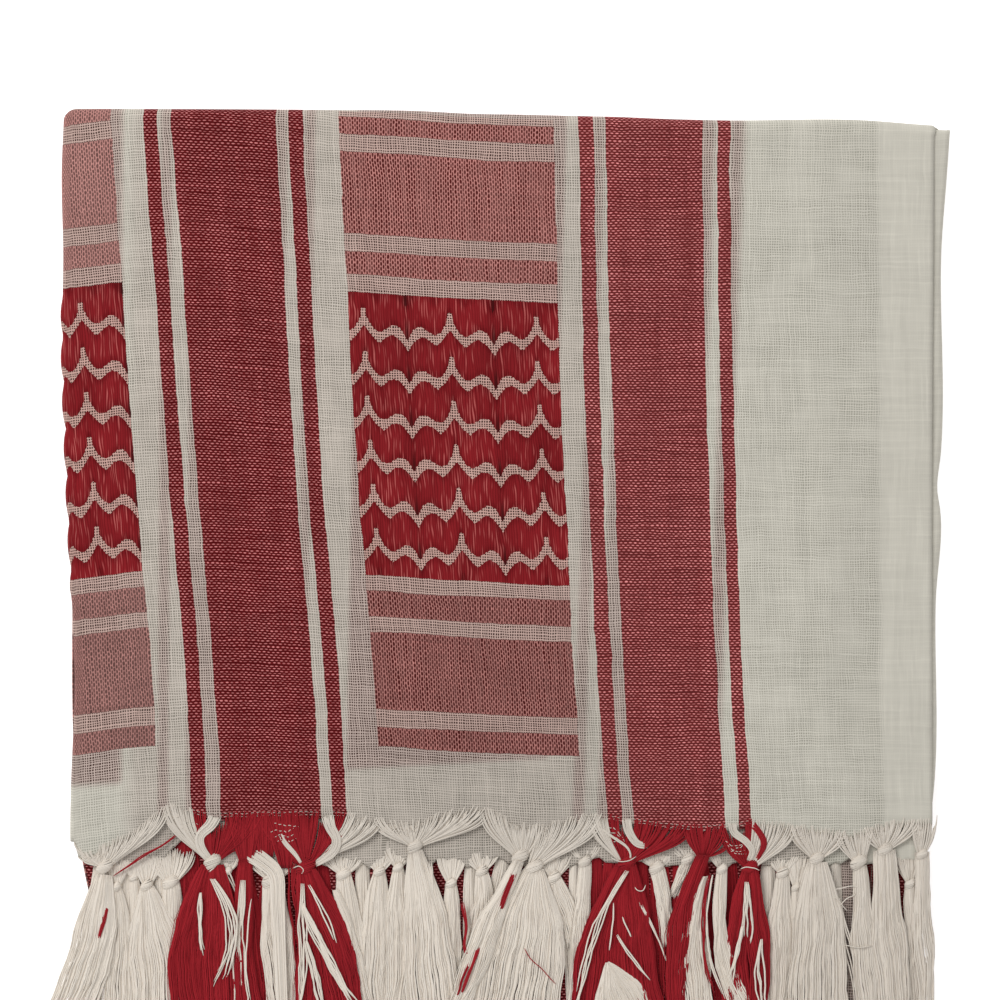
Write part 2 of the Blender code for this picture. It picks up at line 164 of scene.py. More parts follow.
def smooth(low, high, at):
    """Rises from 0 to 1 between low and high with level ends."""
    share = np.clip((at - low) / (high - low), 0.0, 1.0)
    return share * share * (3.0 - 2.0 * share)


print("front flap:", round(float(curve(SELVEDGE, 0.0) - curve(LEFT_FOLD, 0.0))), "mm across")

# %% [markdown]
# Cloth that was folded by hand is never square to its fold. The warp stripes lean, more at the
# left than along the selvedge, and the picks sag towards the right. Both are written as
# slow shifts from a straight weave: a warp end that is u mm from the middle at half height
# passes the top fold and the foot a few mm to one side. The surface then gets two woven
# coordinates, u across the ends and v along them, and every pattern is drawn in those.

# %% How the weave lies in the flap
TOP_LINE, MIDDLE_LINE, FOOT_LINE = 165.2, 8.4, -70.4
# (warp end u, shift to the side)
LEAN_AT_TOP = ((-200.0, -9.7), (-118.0, -9.8), (-97.0, -10.3), (-65.0, -7.8), (-43.0, -7.8),
               (25.0, -5.8), (43.0, -5.0), (78.0, -3.7), (147.0, 0.0))
LEAN_AT_FOOT = ((-200.0, 5.7), (-118.0, 5.7), (-97.0, 5.7), (-65.0, 6.3), (-43.0, 6.0),
                (25.0, 5.0), (43.0, 4.6), (78.0, 4.1), (147.0, 0.0))
SAG_HIGH, SAG_LOW = 152.4, -48.6
# (x, drop of a pick)
SAG_NEAR_TOP = ((-150.0, 2.2), (-144.0, 1.6), (-118.0, -1.1), (-50.0, 3.7), (22.0, 7.5),
                (69.0, 7.6), (148.0, 8.2))
SAG_NEAR_FOOT = ((-150.0, 4.0), (-144.0, 3.5), (-118.0, 0.3), (-50.0, 0.1), (22.0, 3.4),
                 (69.0, 3.7), (148.0, 4.0))
# (y, shift to the side) and (warp end u, share of that shift)
BEND = ((-70.0, 0.1), (-48.0, 0.8), (-15.0, 1.1), (18.0, 0.5), (52.0, 0.0), (119.0, -0.3),
        (152.0, -0.9), (170.0, -1.2))
BEND_SHARE = ((-50.0, 1.0), (30.0, -0.3))
SETTLE_STEPS = 5
# The layer beneath: (shift in the middle, change of it for every mm to the right)
BENEATH_AT_TOP, BENEATH_AT_FOOT, BENEATH_HIGHER = (1.4, -0.0365), (7.3, 0.007), (5.6, -0.055)


def lean(u, y):
    """Sideways shift of a warp end: the parabola through its shifts at three heights, and a
    bend that grows towards the left."""
    to_top, to_foot = TOP_LINE - MIDDLE_LINE, FOOT_LINE - MIDDLE_LINE
    up = (y - MIDDLE_LINE) * (y - FOOT_LINE) / (to_top * (TOP_LINE - FOOT_LINE))
    down = (y - MIDDLE_LINE) * (y - TOP_LINE) / (to_foot * (FOOT_LINE - TOP_LINE))
    bend = curve(BEND, y) * np.interp(u, *np.array(BEND_SHARE).T)
    return up * curve(LEAN_AT_TOP, u) + down * curve(LEAN_AT_FOOT, u) + bend


def sag(x, v):
    """How far a pick hangs below its height at the left: between its two tables by height."""
    share = (SAG_HIGH - v) / (SAG_HIGH - SAG_LOW)
    return (1.0 - share) * curve(SAG_NEAR_TOP, x) + share * curve(SAG_NEAR_FOOT, x)


def woven_place(x, y):
    """Woven coordinates of points of the flap: repeats u = x - lean and v = y + sag."""
    u, v = x.copy(), y.copy()
    for _ in range(SETTLE_STEPS):
        u = x - lean(u, y)
        v = y + sag(x, v)
    return u, v


def place_beneath(x, y):
    """Woven coordinates of the next layer down, whose ends run almost upright."""
    low = (TOP_LINE - y) / (TOP_LINE - FOOT_LINE)
    at_top, at_foot = (middle + slope * x for middle, slope in (BENEATH_AT_TOP, BENEATH_AT_FOOT))
    shift = (1.0 - low) * at_top + low * at_foot
    return x + shift, y + BENEATH_HIGHER[0] + BENEATH_HIGHER[1] * x


corner_u, corner_v = woven_place(np.array([-140.0, 140.0]), np.array([150.0, -60.0]))
print("woven place of two corners:", np.round(corner_u, 1), np.round(corner_v, 1))

# %% [markdown]
# Each piece of cloth is a grid of points worked out as whole arrays: one array of rows by
# columns by three. The faces of a grid follow from its shape alone. The same helper can join
# the last column of a grid to its first, which makes the tube that a yarn needs.

# %% From arrays to meshes
def make_piece(name, points, faces, material, maps=None, tone=None):
    """A mesh object from points in mm, with maps of woven coordinates in mm and a tone."""
    mesh = bpy.data.meshes.new(name)
    mesh.vertices.add(len(points))
    mesh.vertices.foreach_set("co", (np.asarray(points) * MM).astype(np.float32).ravel())
    faces = np.asarray(faces, np.int32)
    mesh.loops.add(faces.size)
    mesh.loops.foreach_set("vertex_index", faces.ravel())
    mesh.polygons.add(len(faces))
    mesh.polygons.foreach_set("loop_start", np.arange(0, faces.size, 4, dtype=np.int32))
    mesh.materials.append(material)
    mesh.update(calc_edges=True)
    for label, places in (maps or {}).items():
        layer = mesh.uv_layers.new(name=label)
        places = np.asarray(places, np.float32).reshape(-1, 2)
        layer.uv.foreach_set("vector", places[faces.ravel()].ravel())
    if tone is not None:
        layer = mesh.attributes.new("tone", "FLOAT", "POINT")
        layer.data.foreach_set("value", np.asarray(tone, np.float32))
    mesh.validate()
    mesh.shade_smooth()
    piece = bpy.data.objects.new(name, mesh)
    bpy.context.scene.collection.objects.link(piece)
    return piece


def grid_faces(rows, columns, closed=False):
    """Quads of a grid, wound so that they face left of the way from row to row; a closed grid
    joins its last column to its first."""
    index = np.arange(rows * columns).reshape(rows, columns)
    if closed:
        index = np.concatenate([index, index[:, :1]], axis=1)
    quads = [index[:-1, :-1], index[:-1, 1:], index[1:, 1:], index[1:, :-1]]
    return np.stack(quads, axis=-1).reshape(-1, 4)


def cloth_grid(name, points, maps, material, thickness=CLOTH):
    """A sheet from an array of rows and columns of points, given its thickness inwards."""
    rows, columns = points.shape[:2]
    piece = make_piece(name, points.reshape(-1, 3), grid_faces(rows, columns), material, maps)
    shell = piece.modifiers.new("thickness", "SOLIDIFY")
    shell.thickness = thickness * MM
    shell.offset = -1.0
    shell.use_even_offset = False
    return piece


print("quads of a tube with 3 rings of 4 points:", len(grid_faces(3, 4, closed=True)))

# %% [markdown]
# The outer layer of the bundle is one stretch of cloth: it comes up the front as the flap, rolls
# over the top fold and runs back underneath. It could be two flat panels, but then the fold
# would be a seam. So it will be one grid, and its face needs heights first.
# Creases are soft troughs and ridges of uneven length. Across the red floats the left fold bulges
# a little at every row, where the loose floats spread.

# %% Heights of the flap
EDGE_DIP, EDGE_DIP_LENGTH = 0.75, 3.4
# (share of the height, radians per mm of x, radians per mm of y, start)
RIPPLES = ((0.15, 0.032, 0.023, 0.8), (0.15, 0.032, -0.023, 2.4), (0.18, 0.059, -0.019, 0.0))
RIPPLE_HEIGHT = 0.4
# (x and y of one end, x and y of the other, half-width, height)
CREASES = (
    (131.0, 158.0, 130.5, -40.0, 3.2, -0.30),
    (112.5, 150.0, 115.0, -20.0, 4.5, 0.22),
    (94.0, 120.0, 98.0, 20.0, 5.0, -0.16),
    (104.0, 40.0, 101.0, -66.0, 4.0, 0.20),
    (-126.0, 150.0, -117.0, -60.0, 3.0, 0.22),
    (-62.0, 160.0, -54.0, -20.0, 4.0, -0.14),
    (30.0, 150.0, 36.0, -50.0, 3.5, -0.16),
    (-40.0, -58.0, 20.0, -61.0, 2.6, -0.22),
    (84.0, -57.0, 128.0, -60.0, 2.8, 0.20),
    (-138.0, -50.0, -112.0, -60.0, 2.6, -0.22),
    (20.0, 118.0, 74.0, 96.0, 6.0, 0.12),
    (-30.0, 60.0, 10.0, 84.0, 7.0, 0.12),
)
FLOAT_ROWS = (11.4, 108.2)  # the red floats lie between these heights of the weave
ROW_PITCH = 14.98
FOLD_NOTCH = 94.6  # height at which the first white line crosses the left fold
FOLD_BULGE = 0.55
CALM_FROM_LEFT, CALM_FROM_TOP = 19.0, 25.0


def crease_height(x, y):
    """Sum of soft creases: each is a bell across its line, fading out at both ends."""
    height = np.zeros_like(x)
    for x0, y0, x1, y1, half_width, rise in CREASES:
        length = math.hypot(x1 - x0, y1 - y0)
        along = ((x - x0) * (x1 - x0) + (y - y0) * (y1 - y0)) / length**2
        across = ((x - x0) * (y1 - y0) - (y - y0) * (x1 - x0)) / length
        across = across + 1.5 * np.sin(along * 5.0 + x0)
        height += rise * np.exp(-(across / half_width) ** 2) * smooth(-0.1, 0.25, along) * smooth(
            -0.1, 0.25, 1.0 - along)
    return height


def ripple(x, y):
    """Slow waves of the flap, level towards its folds."""
    waves = sum(share * np.sin(x * a + y * b + start) for share, a, b, start in RIPPLES)
    calm = smooth(0.0, CALM_FROM_TOP, curve(TOP_FOLD, x) - STACK_HEIGHT - y)
    calm = calm * smooth(0.0, CALM_FROM_LEFT, x - curve(LEFT_FOLD, y))
    return calm * RIPPLE_HEIGHT * (0.5 + waves)


def fold_bulge(v):
    """Outward bulge of the left fold: a half wave for every row of floats."""
    phase = (FOLD_NOTCH - v) / ROW_PITCH
    inside = smooth(FLOAT_ROWS[0] - 2.0, FLOAT_ROWS[0] + 2.0, v)
    inside = inside * smooth(-FLOAT_ROWS[1] - 2.0, -FLOAT_ROWS[1] + 2.0, -v)
    return FOLD_BULGE * inside * (2.0 * np.abs(np.sin(math.pi * phase)) ** 0.8 - 1.0)


def flap_height(x, y):
    """Height of the flap's face, which sinks at the end of the weave."""
    high = curve(TOP_FOLD, x) - STACK_HEIGHT / 2.0
    dip = EDGE_DIP * smooth(EDGE_DIP_LENGTH, 0.0, y - curve(WEAVE_END, x))
    return STACK_HEIGHT + ripple(x, y) + crease_height(x, y) * smooth(0.0, 12.0, high - y) - dip


face = flap_height(*np.meshgrid(np.linspace(-130.0, 130.0, 27), np.linspace(-60.0, 140.0, 21)))
print("the face lies", round(float(face.min()), 2), "to", round(float(face.max()), 2), "mm high")

# %% [markdown]
# One row function gives a line across the cloth for each step of the way: up the flap, round
# the top fold and back underneath. The left edge of every line turns inwards round an
# ellipse as high as the stack, because the cloth is folded there too. Each line
# also says where it lies in the weave, so that the pattern runs on round both folds.

# %% The outer layer
FLAP_WIDTH, FLAP_LENGTH, UNDERSIDE_LENGTH = 291.0, 236.0, 322.0
ROW_STEP, COLUMN_STEP, UNDERSIDE_STEP = 1.9, 1.6, 6.0
FIRST_COLUMN = 0.012  # share of the width, close to the fold so that it stays round
ROLL_STEPS, FOLD_STEPS = 12, 9
CORNER = 3.4  # radius of the two upper corners
SAG_AT_FOLD = SAG_NEAR_TOP[1][1]
OTHER_LAYER_SHIFT = (6.0, 7.0)


def flap_line(share, across):
    """A line across the flap: points, woven coordinates, the height that each point would have
    with the cloth laid out straight, and the outward direction."""
    middle_low, middle_high = curve(WEAVE_END, 0.0), curve(TOP_FOLD, 0.0)
    y = middle_low + share * (middle_high - middle_low)
    left = curve(LEFT_FOLD, y) - fold_bulge(y + SAG_AT_FOLD)
    x = left + across * (curve(SELVEDGE, y) - left)
    low, high = curve(WEAVE_END, x), curve(TOP_FOLD, x) - STACK_HEIGHT / 2.0
    y = low + share * (high - low)
    return (np.stack([x, y, flap_height(x, y)], axis=-1), np.stack(woven_place(x, y), axis=-1), y,
            (0.0, 0.0, 1.0))


def roll_line(share, across):
    """A line across the turned-over fold: half a circle from the face to the underside."""
    angle, radius = math.pi * share, STACK_HEIGHT / 2.0
    left, right = curve(LEFT_FOLD, TOP_LINE), curve(SELVEDGE, TOP_LINE)
    right += share * (BACK_RIGHT_EDGE[0][1] - SELVEDGE[0][1])
    inwards = np.clip(CORNER - radius * (1.0 - math.sin(angle)), 0.0, CORNER)
    soften = CORNER - np.sqrt(CORNER**2 - inwards**2)
    x = left + soften + across * (right - left - 2.0 * soften)
    fold = curve(TOP_FOLD, x) - radius
    points = np.stack([x, fold + radius * math.sin(angle),
                       np.full_like(x, radius + radius * math.cos(angle))], axis=-1)
    u, v = woven_place(x, fold)
    return points, np.stack([u, v + radius * angle], axis=-1), fold + radius * angle, (
        0.0, math.sin(angle), math.cos(angle))


def underside_line(share, across):
    """A line across the flat underside."""
    high = curve(TOP_FOLD, 0.0) - STACK_HEIGHT / 2.0
    y = high + share * (UNDERSIDE_END - high)
    left = curve(BACK_LEFT_FOLD, y)
    x = left + across * (curve(BACK_RIGHT_EDGE, y) - left)
    high = curve(TOP_FOLD, x) - STACK_HEIGHT / 2.0
    y = high + share * (UNDERSIDE_END - high)
    points = np.stack([x, y, np.zeros_like(x)], axis=-1)
    u, v = woven_place(x, high)
    further = STACK_HEIGHT / 2.0 * math.pi + high - y
    return points, np.stack([u, v + further], axis=-1), high + further, (0.0, 0.0, -1.0)


def with_fold(line):
    """Adds the fold at the left: an arc of an ellipse from the line's first point round to the
    middle of the stack, where it meets the arc of the other face."""
    points, woven, straight, outward = line
    angles = np.linspace(FOLD_ANGLE, 0.0, FOLD_STEPS + 1)[:-1]
    arc = np.repeat(points[:1], FOLD_STEPS, axis=0)
    arc[:, 0] += FOLD_WIDTH * (1.0 - np.sin(angles))
    arc -= np.outer(FOLD_DEPTH * (1.0 - np.cos(angles)), outward)
    inset = points.copy()
    inset[0, 0] += FOLD_WIDTH
    inset[:, 0] = np.maximum(inset[:, 0], inset[0, 0])
    strip = np.repeat(woven[:1], FOLD_STEPS, axis=0)
    strip[:, 0] -= 0.5 * (FOLD_WIDTH + FOLD_DEPTH) * angles
    points = np.concatenate([arc, inset])
    straight = np.concatenate([np.repeat(straight[:1], FOLD_STEPS), straight])
    beneath = np.stack(place_beneath(points[:, 0], straight), axis=-1)
    return points, np.concatenate([strip, woven]), beneath


def outer_cloth(material):
    """Every line of the outer layer, from the foot of the flap to the end underneath."""
    columns = np.linspace(FIRST_COLUMN, 1.0, round(FLAP_WIDTH / COLUMN_STEP))
    across = np.concatenate([[0.0], columns])
    shares = {
        flap_line: np.linspace(0.0, 1.0, round(FLAP_LENGTH / ROW_STEP)),
        roll_line: np.linspace(0.0, 1.0, ROLL_STEPS + 1)[1:-1],
        underside_line: np.linspace(0.0, 1.0, round(UNDERSIDE_LENGTH / UNDERSIDE_STEP)),
    }
    lines = [with_fold(row(share, across)) for row, steps in shares.items() for share in steps]
    points, woven, beneath = (np.array(part) for part in zip(*lines))
    return cloth_grid("outer_cloth", points, {"cloth": woven, "beneath": beneath}, material)


print("top fold:", round(math.pi * STACK_HEIGHT / 2.0, 1), "mm of cloth in", ROLL_STEPS, "steps")

# %% [markdown]
# A woven pattern could be painted, but paint has no threads. Here the weave is worked out at
# every point from its two woven coordinates: which warp end and which pick cross there, which
# of the two lies on top, and what colour each was dyed. The formulas are sums and products of
# many small nodes, so a short class lets them be written as formulas.

# %% Formulas as shader nodes
def plug(tree, value, entry):
    """Links a wire to a socket, or writes a plain value on it."""
    if isinstance(value, Wire):
        tree.links.new(value.socket, entry)
    else:
        entry.default_value = value


class Wire:
    """A number that changes over the surface; arithmetic on wires adds Math nodes."""

    def __init__(self, tree, socket):
        self.tree = tree
        self.socket = socket

    def math(self, operation, *others):
        """The result of one Math node."""
        made = self.tree.nodes.new("ShaderNodeMath")
        made.operation = operation
        for entry, value in zip(made.inputs, (self, *others)):
            plug(self.tree, value, entry)
        return Wire(self.tree, made.outputs[0])

    def __add__(self, other):
        return self.math("ADD", other)

    def __sub__(self, other):
        return self.math("SUBTRACT", other)

    def __mul__(self, other):
        return self.math("MULTIPLY", other)

    def __truediv__(self, other):
        return self.math("DIVIDE", other)

    __radd__ = __add__
    __rmul__ = __mul__

    def __rsub__(self, other):
        return (self * -1.0) + other

    def size(self):
        """The number without its sign."""
        return self.math("ABSOLUTE")

    def whole(self):
        """The whole number below."""
        return self.math("FLOOR")

    def part(self):
        """What is left over from the whole number below."""
        return self.math("FRACT")

    def below(self, limit):
        """1 under the limit and 0 elsewhere."""
        return self.math("LESS_THAN", limit)

    def above(self, limit):
        """1 over the limit and 0 elsewhere."""
        return self.math("GREATER_THAN", limit)

    def clipped(self):
        """The number kept from 0 to 1."""
        return self.math("MAXIMUM", 0.0).math("MINIMUM", 1.0)

    def between(self, low, high):
        """1 inside a band and 0 outside it."""
        return (self - 0.5 * (low + high)).size().below(0.5 * (high - low))

    def ease(self, low, high):
        """Rises smoothly from 0 at low to 1 at high; falls where low is the larger."""
        made = self.tree.nodes.new("ShaderNodeMapRange")
        made.interpolation_type = "SMOOTHSTEP"
        plug(self.tree, self, made.inputs["Value"])
        flip = low > high
        made.inputs["From Min"].default_value = high if flip else low
        made.inputs["From Max"].default_value = low if flip else high
        made.inputs["To Min"].default_value = 1.0 if flip else 0.0
        made.inputs["To Max"].default_value = 0.0 if flip else 1.0
        return Wire(self.tree, made.outputs[0])


print("a wire can:", ", ".join(name for name in vars(Wire) if not name.startswith("_")))

# %% [markdown]
# A few functions more put the other nodes to use: a choice between two numbers, a blend
# of two colours, a darker or lighter colour, and noise. What more than one material needs
# becomes a node group, which is opened with named inputs and closed with named outputs.

# %% Helpers for colours, noise and groups
def choose(mask, when_one, when_zero):
    """A number that is one of two by a mask."""
    return when_zero + mask * (when_one - when_zero)


def blend_colour(factor, first, second):
    """Colour between two, the first where the factor is 0. Colours are wires or triples."""
    tree = factor.tree
    made = tree.nodes.new("ShaderNodeMix")
    made.data_type = "RGBA"
    plug(tree, factor, made.inputs[0])
    for entry, colour in ((made.inputs[6], first), (made.inputs[7], second)):
        plug(tree, colour if isinstance(colour, Wire) else (*colour, 1.0), entry)
    return Wire(tree, made.outputs[2])


def shade_colour(colour, level):
    """A colour multiplied by a number."""
    tree = level.tree
    made = tree.nodes.new("ShaderNodeVectorMath")
    made.operation = "SCALE"
    plug(tree, colour, made.inputs[0])
    plug(tree, level, made.inputs["Scale"])
    return Wire(tree, made.outputs[0])


def noise(across, along, detail=1.0, seed=0.0):
    """Soft noise from 0 to 1 in a plane of two wires; features are about 1 long."""
    tree = across.tree
    place = tree.nodes.new("ShaderNodeCombineXYZ")
    plug(tree, across, place.inputs["X"])
    plug(tree, along, place.inputs["Y"])
    place.inputs["Z"].default_value = seed
    made = tree.nodes.new("ShaderNodeTexNoise")
    made.inputs["Scale"].default_value = 1.0
    made.inputs["Detail"].default_value = detail
    tree.links.new(place.outputs[0], made.inputs["Vector"])
    return Wire(tree, made.outputs[0])


def open_group(name, inputs, outputs):
    """A node group with number sockets: its tree, its input wires and a function to close it."""
    tree = bpy.data.node_groups.new(name, "ShaderNodeTree")
    for label in inputs:
        tree.interface.new_socket(label, in_out="INPUT", socket_type="NodeSocketFloat")
    for label, kind in outputs.items():
        tree.interface.new_socket(label, in_out="OUTPUT", socket_type=kind)
    start = tree.nodes.new("NodeGroupInput")
    end = tree.nodes.new("NodeGroupOutput")

    def close(**values):
        """Feeds each named output."""
        for label, value in values.items():
            plug(tree, value, end.inputs[label.replace("_", " ")])

    return tree, [Wire(tree, start.outputs[label]) for label in inputs], close


def place_group(tree, group, *values):
    """Puts a group into a tree with its inputs in order and gives its outputs by name."""
    made = tree.nodes.new("ShaderNodeGroup")
    made.node_tree = group
    for entry, value in zip(made.inputs, values):
        plug(tree, value, entry)
    return {output.name: Wire(tree, output) for output in made.outputs}


NUMBER, COLOUR = "NodeSocketFloat", "NodeSocketColor"
print("sockets of a group:", NUMBER, "and", COLOUR)

# %% [markdown]
# The first group finds the threads. Dividing the woven coordinates by the spacing of the ends
# and of the picks numbers them; what is left over is the place across each thread. In plain
# weave the warp lies on top where the two numbers add to an even sum. A slow noise
# lets the threads wander by half a millimetre, as they do in cotton this loose.

# %% Threads of a plain weave
WARP_PITCH, WEFT_PITCH = 0.80, 0.87


def thread_group():
    """Numbers the threads and gives their places, the offsets across each and the parity."""
    outputs = dict.fromkeys(("End", "Pick", "End place", "Pick place", "Across", "Along",
                             "Parity"), NUMBER)
    tree, (u, v), close = open_group("plain_weave_threads", ("Across ends", "Along ends"), outputs)
    wander_u = noise(u * 0.05, v * 0.05, 1.0) * 1.4 + noise(u * 0.9, v * 0.03, 1.0, 70.0) * 0.6
    wander_v = noise(u * 0.04, v * 0.06, 1.0, 5.0) * 1.6 + noise(u * 0.03, v * 0.8, 1.0, 72.0) * 0.6
    curl = noise(u * 0.35, v * 0.35, 0.0, 71.0) * 0.45
    u, v = u + wander_u + curl - 1.25, v + wander_v + curl - 1.35
    ends, picks = u / WARP_PITCH, v / WEFT_PITCH
    end, pick = ends.whole(), picks.whole()
    close(End=end, Pick=pick, End_place=(end + 0.5) * WARP_PITCH,
          Pick_place=(pick + 0.5) * WEFT_PITCH, Across=ends.part() - 0.5,
          Along=picks.part() - 0.5, Parity=(end + pick).math("PINGPONG", 1.0))
    return tree


THREADS = thread_group()
print("threads:", len(THREADS.nodes), "nodes")

# %% [markdown]
# The second group is the weaver's draft. Six warp stripes run the whole length. Between them
# lie two blocks in which the weft turns red: a few plain bars, and between those the
# rows of long red floats, parted by white lines that dip and spike like a net. The lines
# repeat, so one half of one repeat is charted as two short curves, the upper and the lower
# edge of the line, and mirrored and stacked from there. All of it is read at the middle
# of a thread and not at the point itself, so every edge steps from thread to thread.

# %% The draft: stripes, bars and the netted rows
RED_ENDS = ((-106.4, -101.6), (-96.9, -64.2), (-59.9, -55.2), (33.4, 38.4), (42.2, 73.6),
            (78.1, 82.8))
LEFT_BLOCK_EDGE = -117.9
MIDDLE_BLOCK = (-42.9, 25.8)
RED_PICKS = ((162.0, 168.0), (127.6, 155.4), (114.0, 121.6), (-2.2, 5.9), (-33.7, -7.4),
             (-47.3, -39.8))
PATTERN_TOP, PATTERN_REPEAT = 170.5, 222.0  # above the first height the pattern starts again
REPEAT = 28.4  # width of one repeat of the net
MIDDLE_SPIKE, LEFT_SPIKE = -38.3, -132.0  # one spike of the net in each block
FIRST_TIP = 102.9  # height of the tip of the highest spikes
STEPPED = 0.4  # how much the net's edges step from thread to thread, from 0 to 1
LINES = (13.2, 103.2)  # the white lines lie between these heights
# Half a repeat: (from the spike, upper edge below the tip, lower edge below the tip)
NET_LINE = ((0.0, 0.0, 6.2), (0.7, 0.4, 6.9), (1.0, 3.2, 7.4), (2.0, 5.3, 8.8), (3.2, 7.2, 10.3),
            (4.8, 8.0, 11.8), (6.0, 7.8, 10.9), (7.6, 6.8, 9.5), (9.2, 5.7, 9.0),
            (10.8, 5.8, 9.7), (12.1, 6.7, 10.9), (13.0, 8.2, 12.2), (14.2, 10.6, 14.2))


def edge_curve(tree, place, column):
    """One edge of the netted line as a curve node, from the chart's column."""
    made = tree.nodes.new("ShaderNodeFloatCurve")
    curve_points = made.mapping.curves[0].points
    rows = [(row[0] * 2.0 / REPEAT, row[column] / ROW_PITCH) for row in NET_LINE]
    for _ in rows[2:]:
        curve_points.new(0.5, 0.5)
    for point, row in zip(curve_points, rows):
        point.location = row
        point.handle_type = "VECTOR"
    made.mapping.update()
    plug(tree, place, made.inputs["Value"])
    return Wire(tree, made.outputs[0])


def draft_group():
    """Masks of the draft at the middle of a thread: 1 where the warp or weft is red, where the
    floats lie and on the white line; the place along a float from 0 to 1, and the place from a
    spike, 0, to midway between two, 1."""
    outputs = dict.fromkeys(("Red end", "Red pick", "Block", "Float", "Line", "Along float",
                             "From spike"), NUMBER)
    inputs = ("End place", "Pick place", "Across ends", "Along ends")
    tree, (u, v, u_here, v_here), close = open_group("border_draft", inputs, outputs)
    red_end = sum((u.between(*band) for band in RED_ENDS[1:]), u.between(*RED_ENDS[0]))
    left_block = u.below(LEFT_BLOCK_EDGE)
    block = left_block + u.between(*MIDDLE_BLOCK)
    repeated = v.math("WRAP", PATTERN_TOP, PATTERN_TOP - PATTERN_REPEAT)
    height = choose(v.above(PATTERN_TOP), repeated, v)
    bar = sum((height.between(*band) for band in RED_PICKS[1:]), height.between(*RED_PICKS[0]))
    netted = block * height.between(*FLOAT_ROWS)
    spike = choose(left_block, LEFT_SPIKE, MIDDLE_SPIKE)
    u_drawn = u * STEPPED + u_here * (1.0 - STEPPED)
    drawn = height + (v_here - v) * (1.0 - STEPPED)
    from_spike = (u_drawn - spike).math("PINGPONG", 0.5 * REPEAT) / (0.5 * REPEAT)
    below_tip = ((FIRST_TIP - drawn) / ROW_PITCH).part()
    upper = edge_curve(tree, from_spike, 1)
    lower = edge_curve(tree, from_spike, 2)
    line = below_tip.above(upper) * below_tip.below(lower) * height.between(*LINES)
    gone = (below_tip - lower).math("WRAP", 1.0, 0.0) / (1.0 - lower + upper)
    barred_part = block * height.above(RED_PICKS[-1][0])
    close(Red_end=red_end, Red_pick=bar * block, Block=barred_part, Float=netted * (1.0 - line),
          Line=netted * line, Along_float=gone, From_spike=from_spike)
    return tree


DRAFT = draft_group()
print("draft:", len(DRAFT.nodes), "nodes")

# %% [markdown]
# The layer beneath can be seen through this gauze. It is the same cloth, lying a little
# to one side, so the same stripes and blocks are read again with its own coordinates, but
# only as one soft mask of how red it is there.

# %% The layer beneath
BLOCK_HEIGHTS = (RED_PICKS[-1][0], 900.0)
HAZE, HAZE_SHARE = (-116.0, 42.0), 0.42  # deeper layers redden everything between the stripes


def soft_band(wire, low, high, blur=2.0):
    """1 inside a band, fading out across its edges."""
    middle, half = 0.5 * (low + high), 0.5 * (high - low)
    return (wire - middle).size().ease(half + blur, half - blur)


def beneath_group():
    """How red the next layer down is, from its own woven coordinates."""
    tree, (u, v), close = open_group("layer_beneath", ("Across ends", "Along ends"),
                                     {"Red": NUMBER})
    block = soft_band(u, *MIDDLE_BLOCK) + u.ease(LEFT_BLOCK_EDGE + 2.0, LEFT_BLOCK_EDGE - 2.0)
    stripes = sum((soft_band(u, *band) for band in RED_ENDS[1:]), soft_band(u, *RED_ENDS[0]))
    haze = soft_band(u, *HAZE, blur=5.0) * HAZE_SHARE
    close(Red=(block * soft_band(v, *BLOCK_HEIGHTS) + stripes * 0.9).math("MAXIMUM", haze))
    return tree


BENEATH = beneath_group()
print("layer beneath:", len(BENEATH.nodes), "nodes")

# %% [markdown]
# Each kind of cloth has a function of its own that turns threads into a colour. Undyed cloth
# is open: cream threads with a hole at every corner between them, and each hole shows the next
# layer in painted shade, beige where that layer is white and almost black where it is red.
# In a stripe the red ends crowd together, and the cream picks show as short dashes at every
# second crossing. In a bar it is the other way round, so the cloth looks pink with dark upright
# dashes.

# %% Undyed cloth, stripes and bars
CREAM = (0.625, 0.597, 0.520)
# CREAM_HOLE and HOLE_ON_RED: the next layer seen through the holes, painted in shade
CREAM_HOLE = (0.330, 0.315, 0.262)
CREAM_ON_RED = (0.525, 0.418, 0.372)
HOLE_ON_RED = (0.058, 0.030, 0.024)
LINE_CREAM = (0.600, 0.375, 0.325)
RED = (0.128, 0.0080, 0.0095)
RED_SHADE = (0.064, 0.002, 0.003)
DASH_ON_RED = (0.660, 0.235, 0.232)
PINK = (0.530, 0.232, 0.208)
PINK_SHADE = (0.078, 0.011, 0.010)
THREAD_EDGE = (0.12, 0.29)  # a thread fades out between these shares of the spacing


def dash(parity, beside, ahead, half_length, half_width):
    """An oval on every second crossing: 1 at its heart and 0 outside."""
    reach = choose(parity, beside.size(), 1.0 - beside.size()) / half_length
    side = ahead / half_width
    return (reach * reach + side * side).ease(1.35, 0.35)


def undyed(thread, slub, red_beneath, line, block, open_share, cloudy):
    """Open cream cloth over what lies beneath it, which shows in the holes with painted shade."""
    across, along = thread["Across"], thread["Along"]
    hole = across.size().ease(*THREAD_EDGE) * along.size().ease(*THREAD_EDGE)
    yarn = blend_colour(red_beneath, CREAM, CREAM_ON_RED)
    yarn = blend_colour(line.math("MAXIMUM", block * 0.48), yarn, LINE_CREAM)
    # the hole colour is the layer beneath in painted shade
    gap = blend_colour(red_beneath, CREAM_HOLE, HOLE_ON_RED)
    colour = blend_colour((hole * open_share).math("MINIMUM", 1.0), yarn, gap)
    # cloudy carries the gauze's cloudiness and the painted shade at the foot
    return shade_colour(colour, slub - cloudy + 1.0)


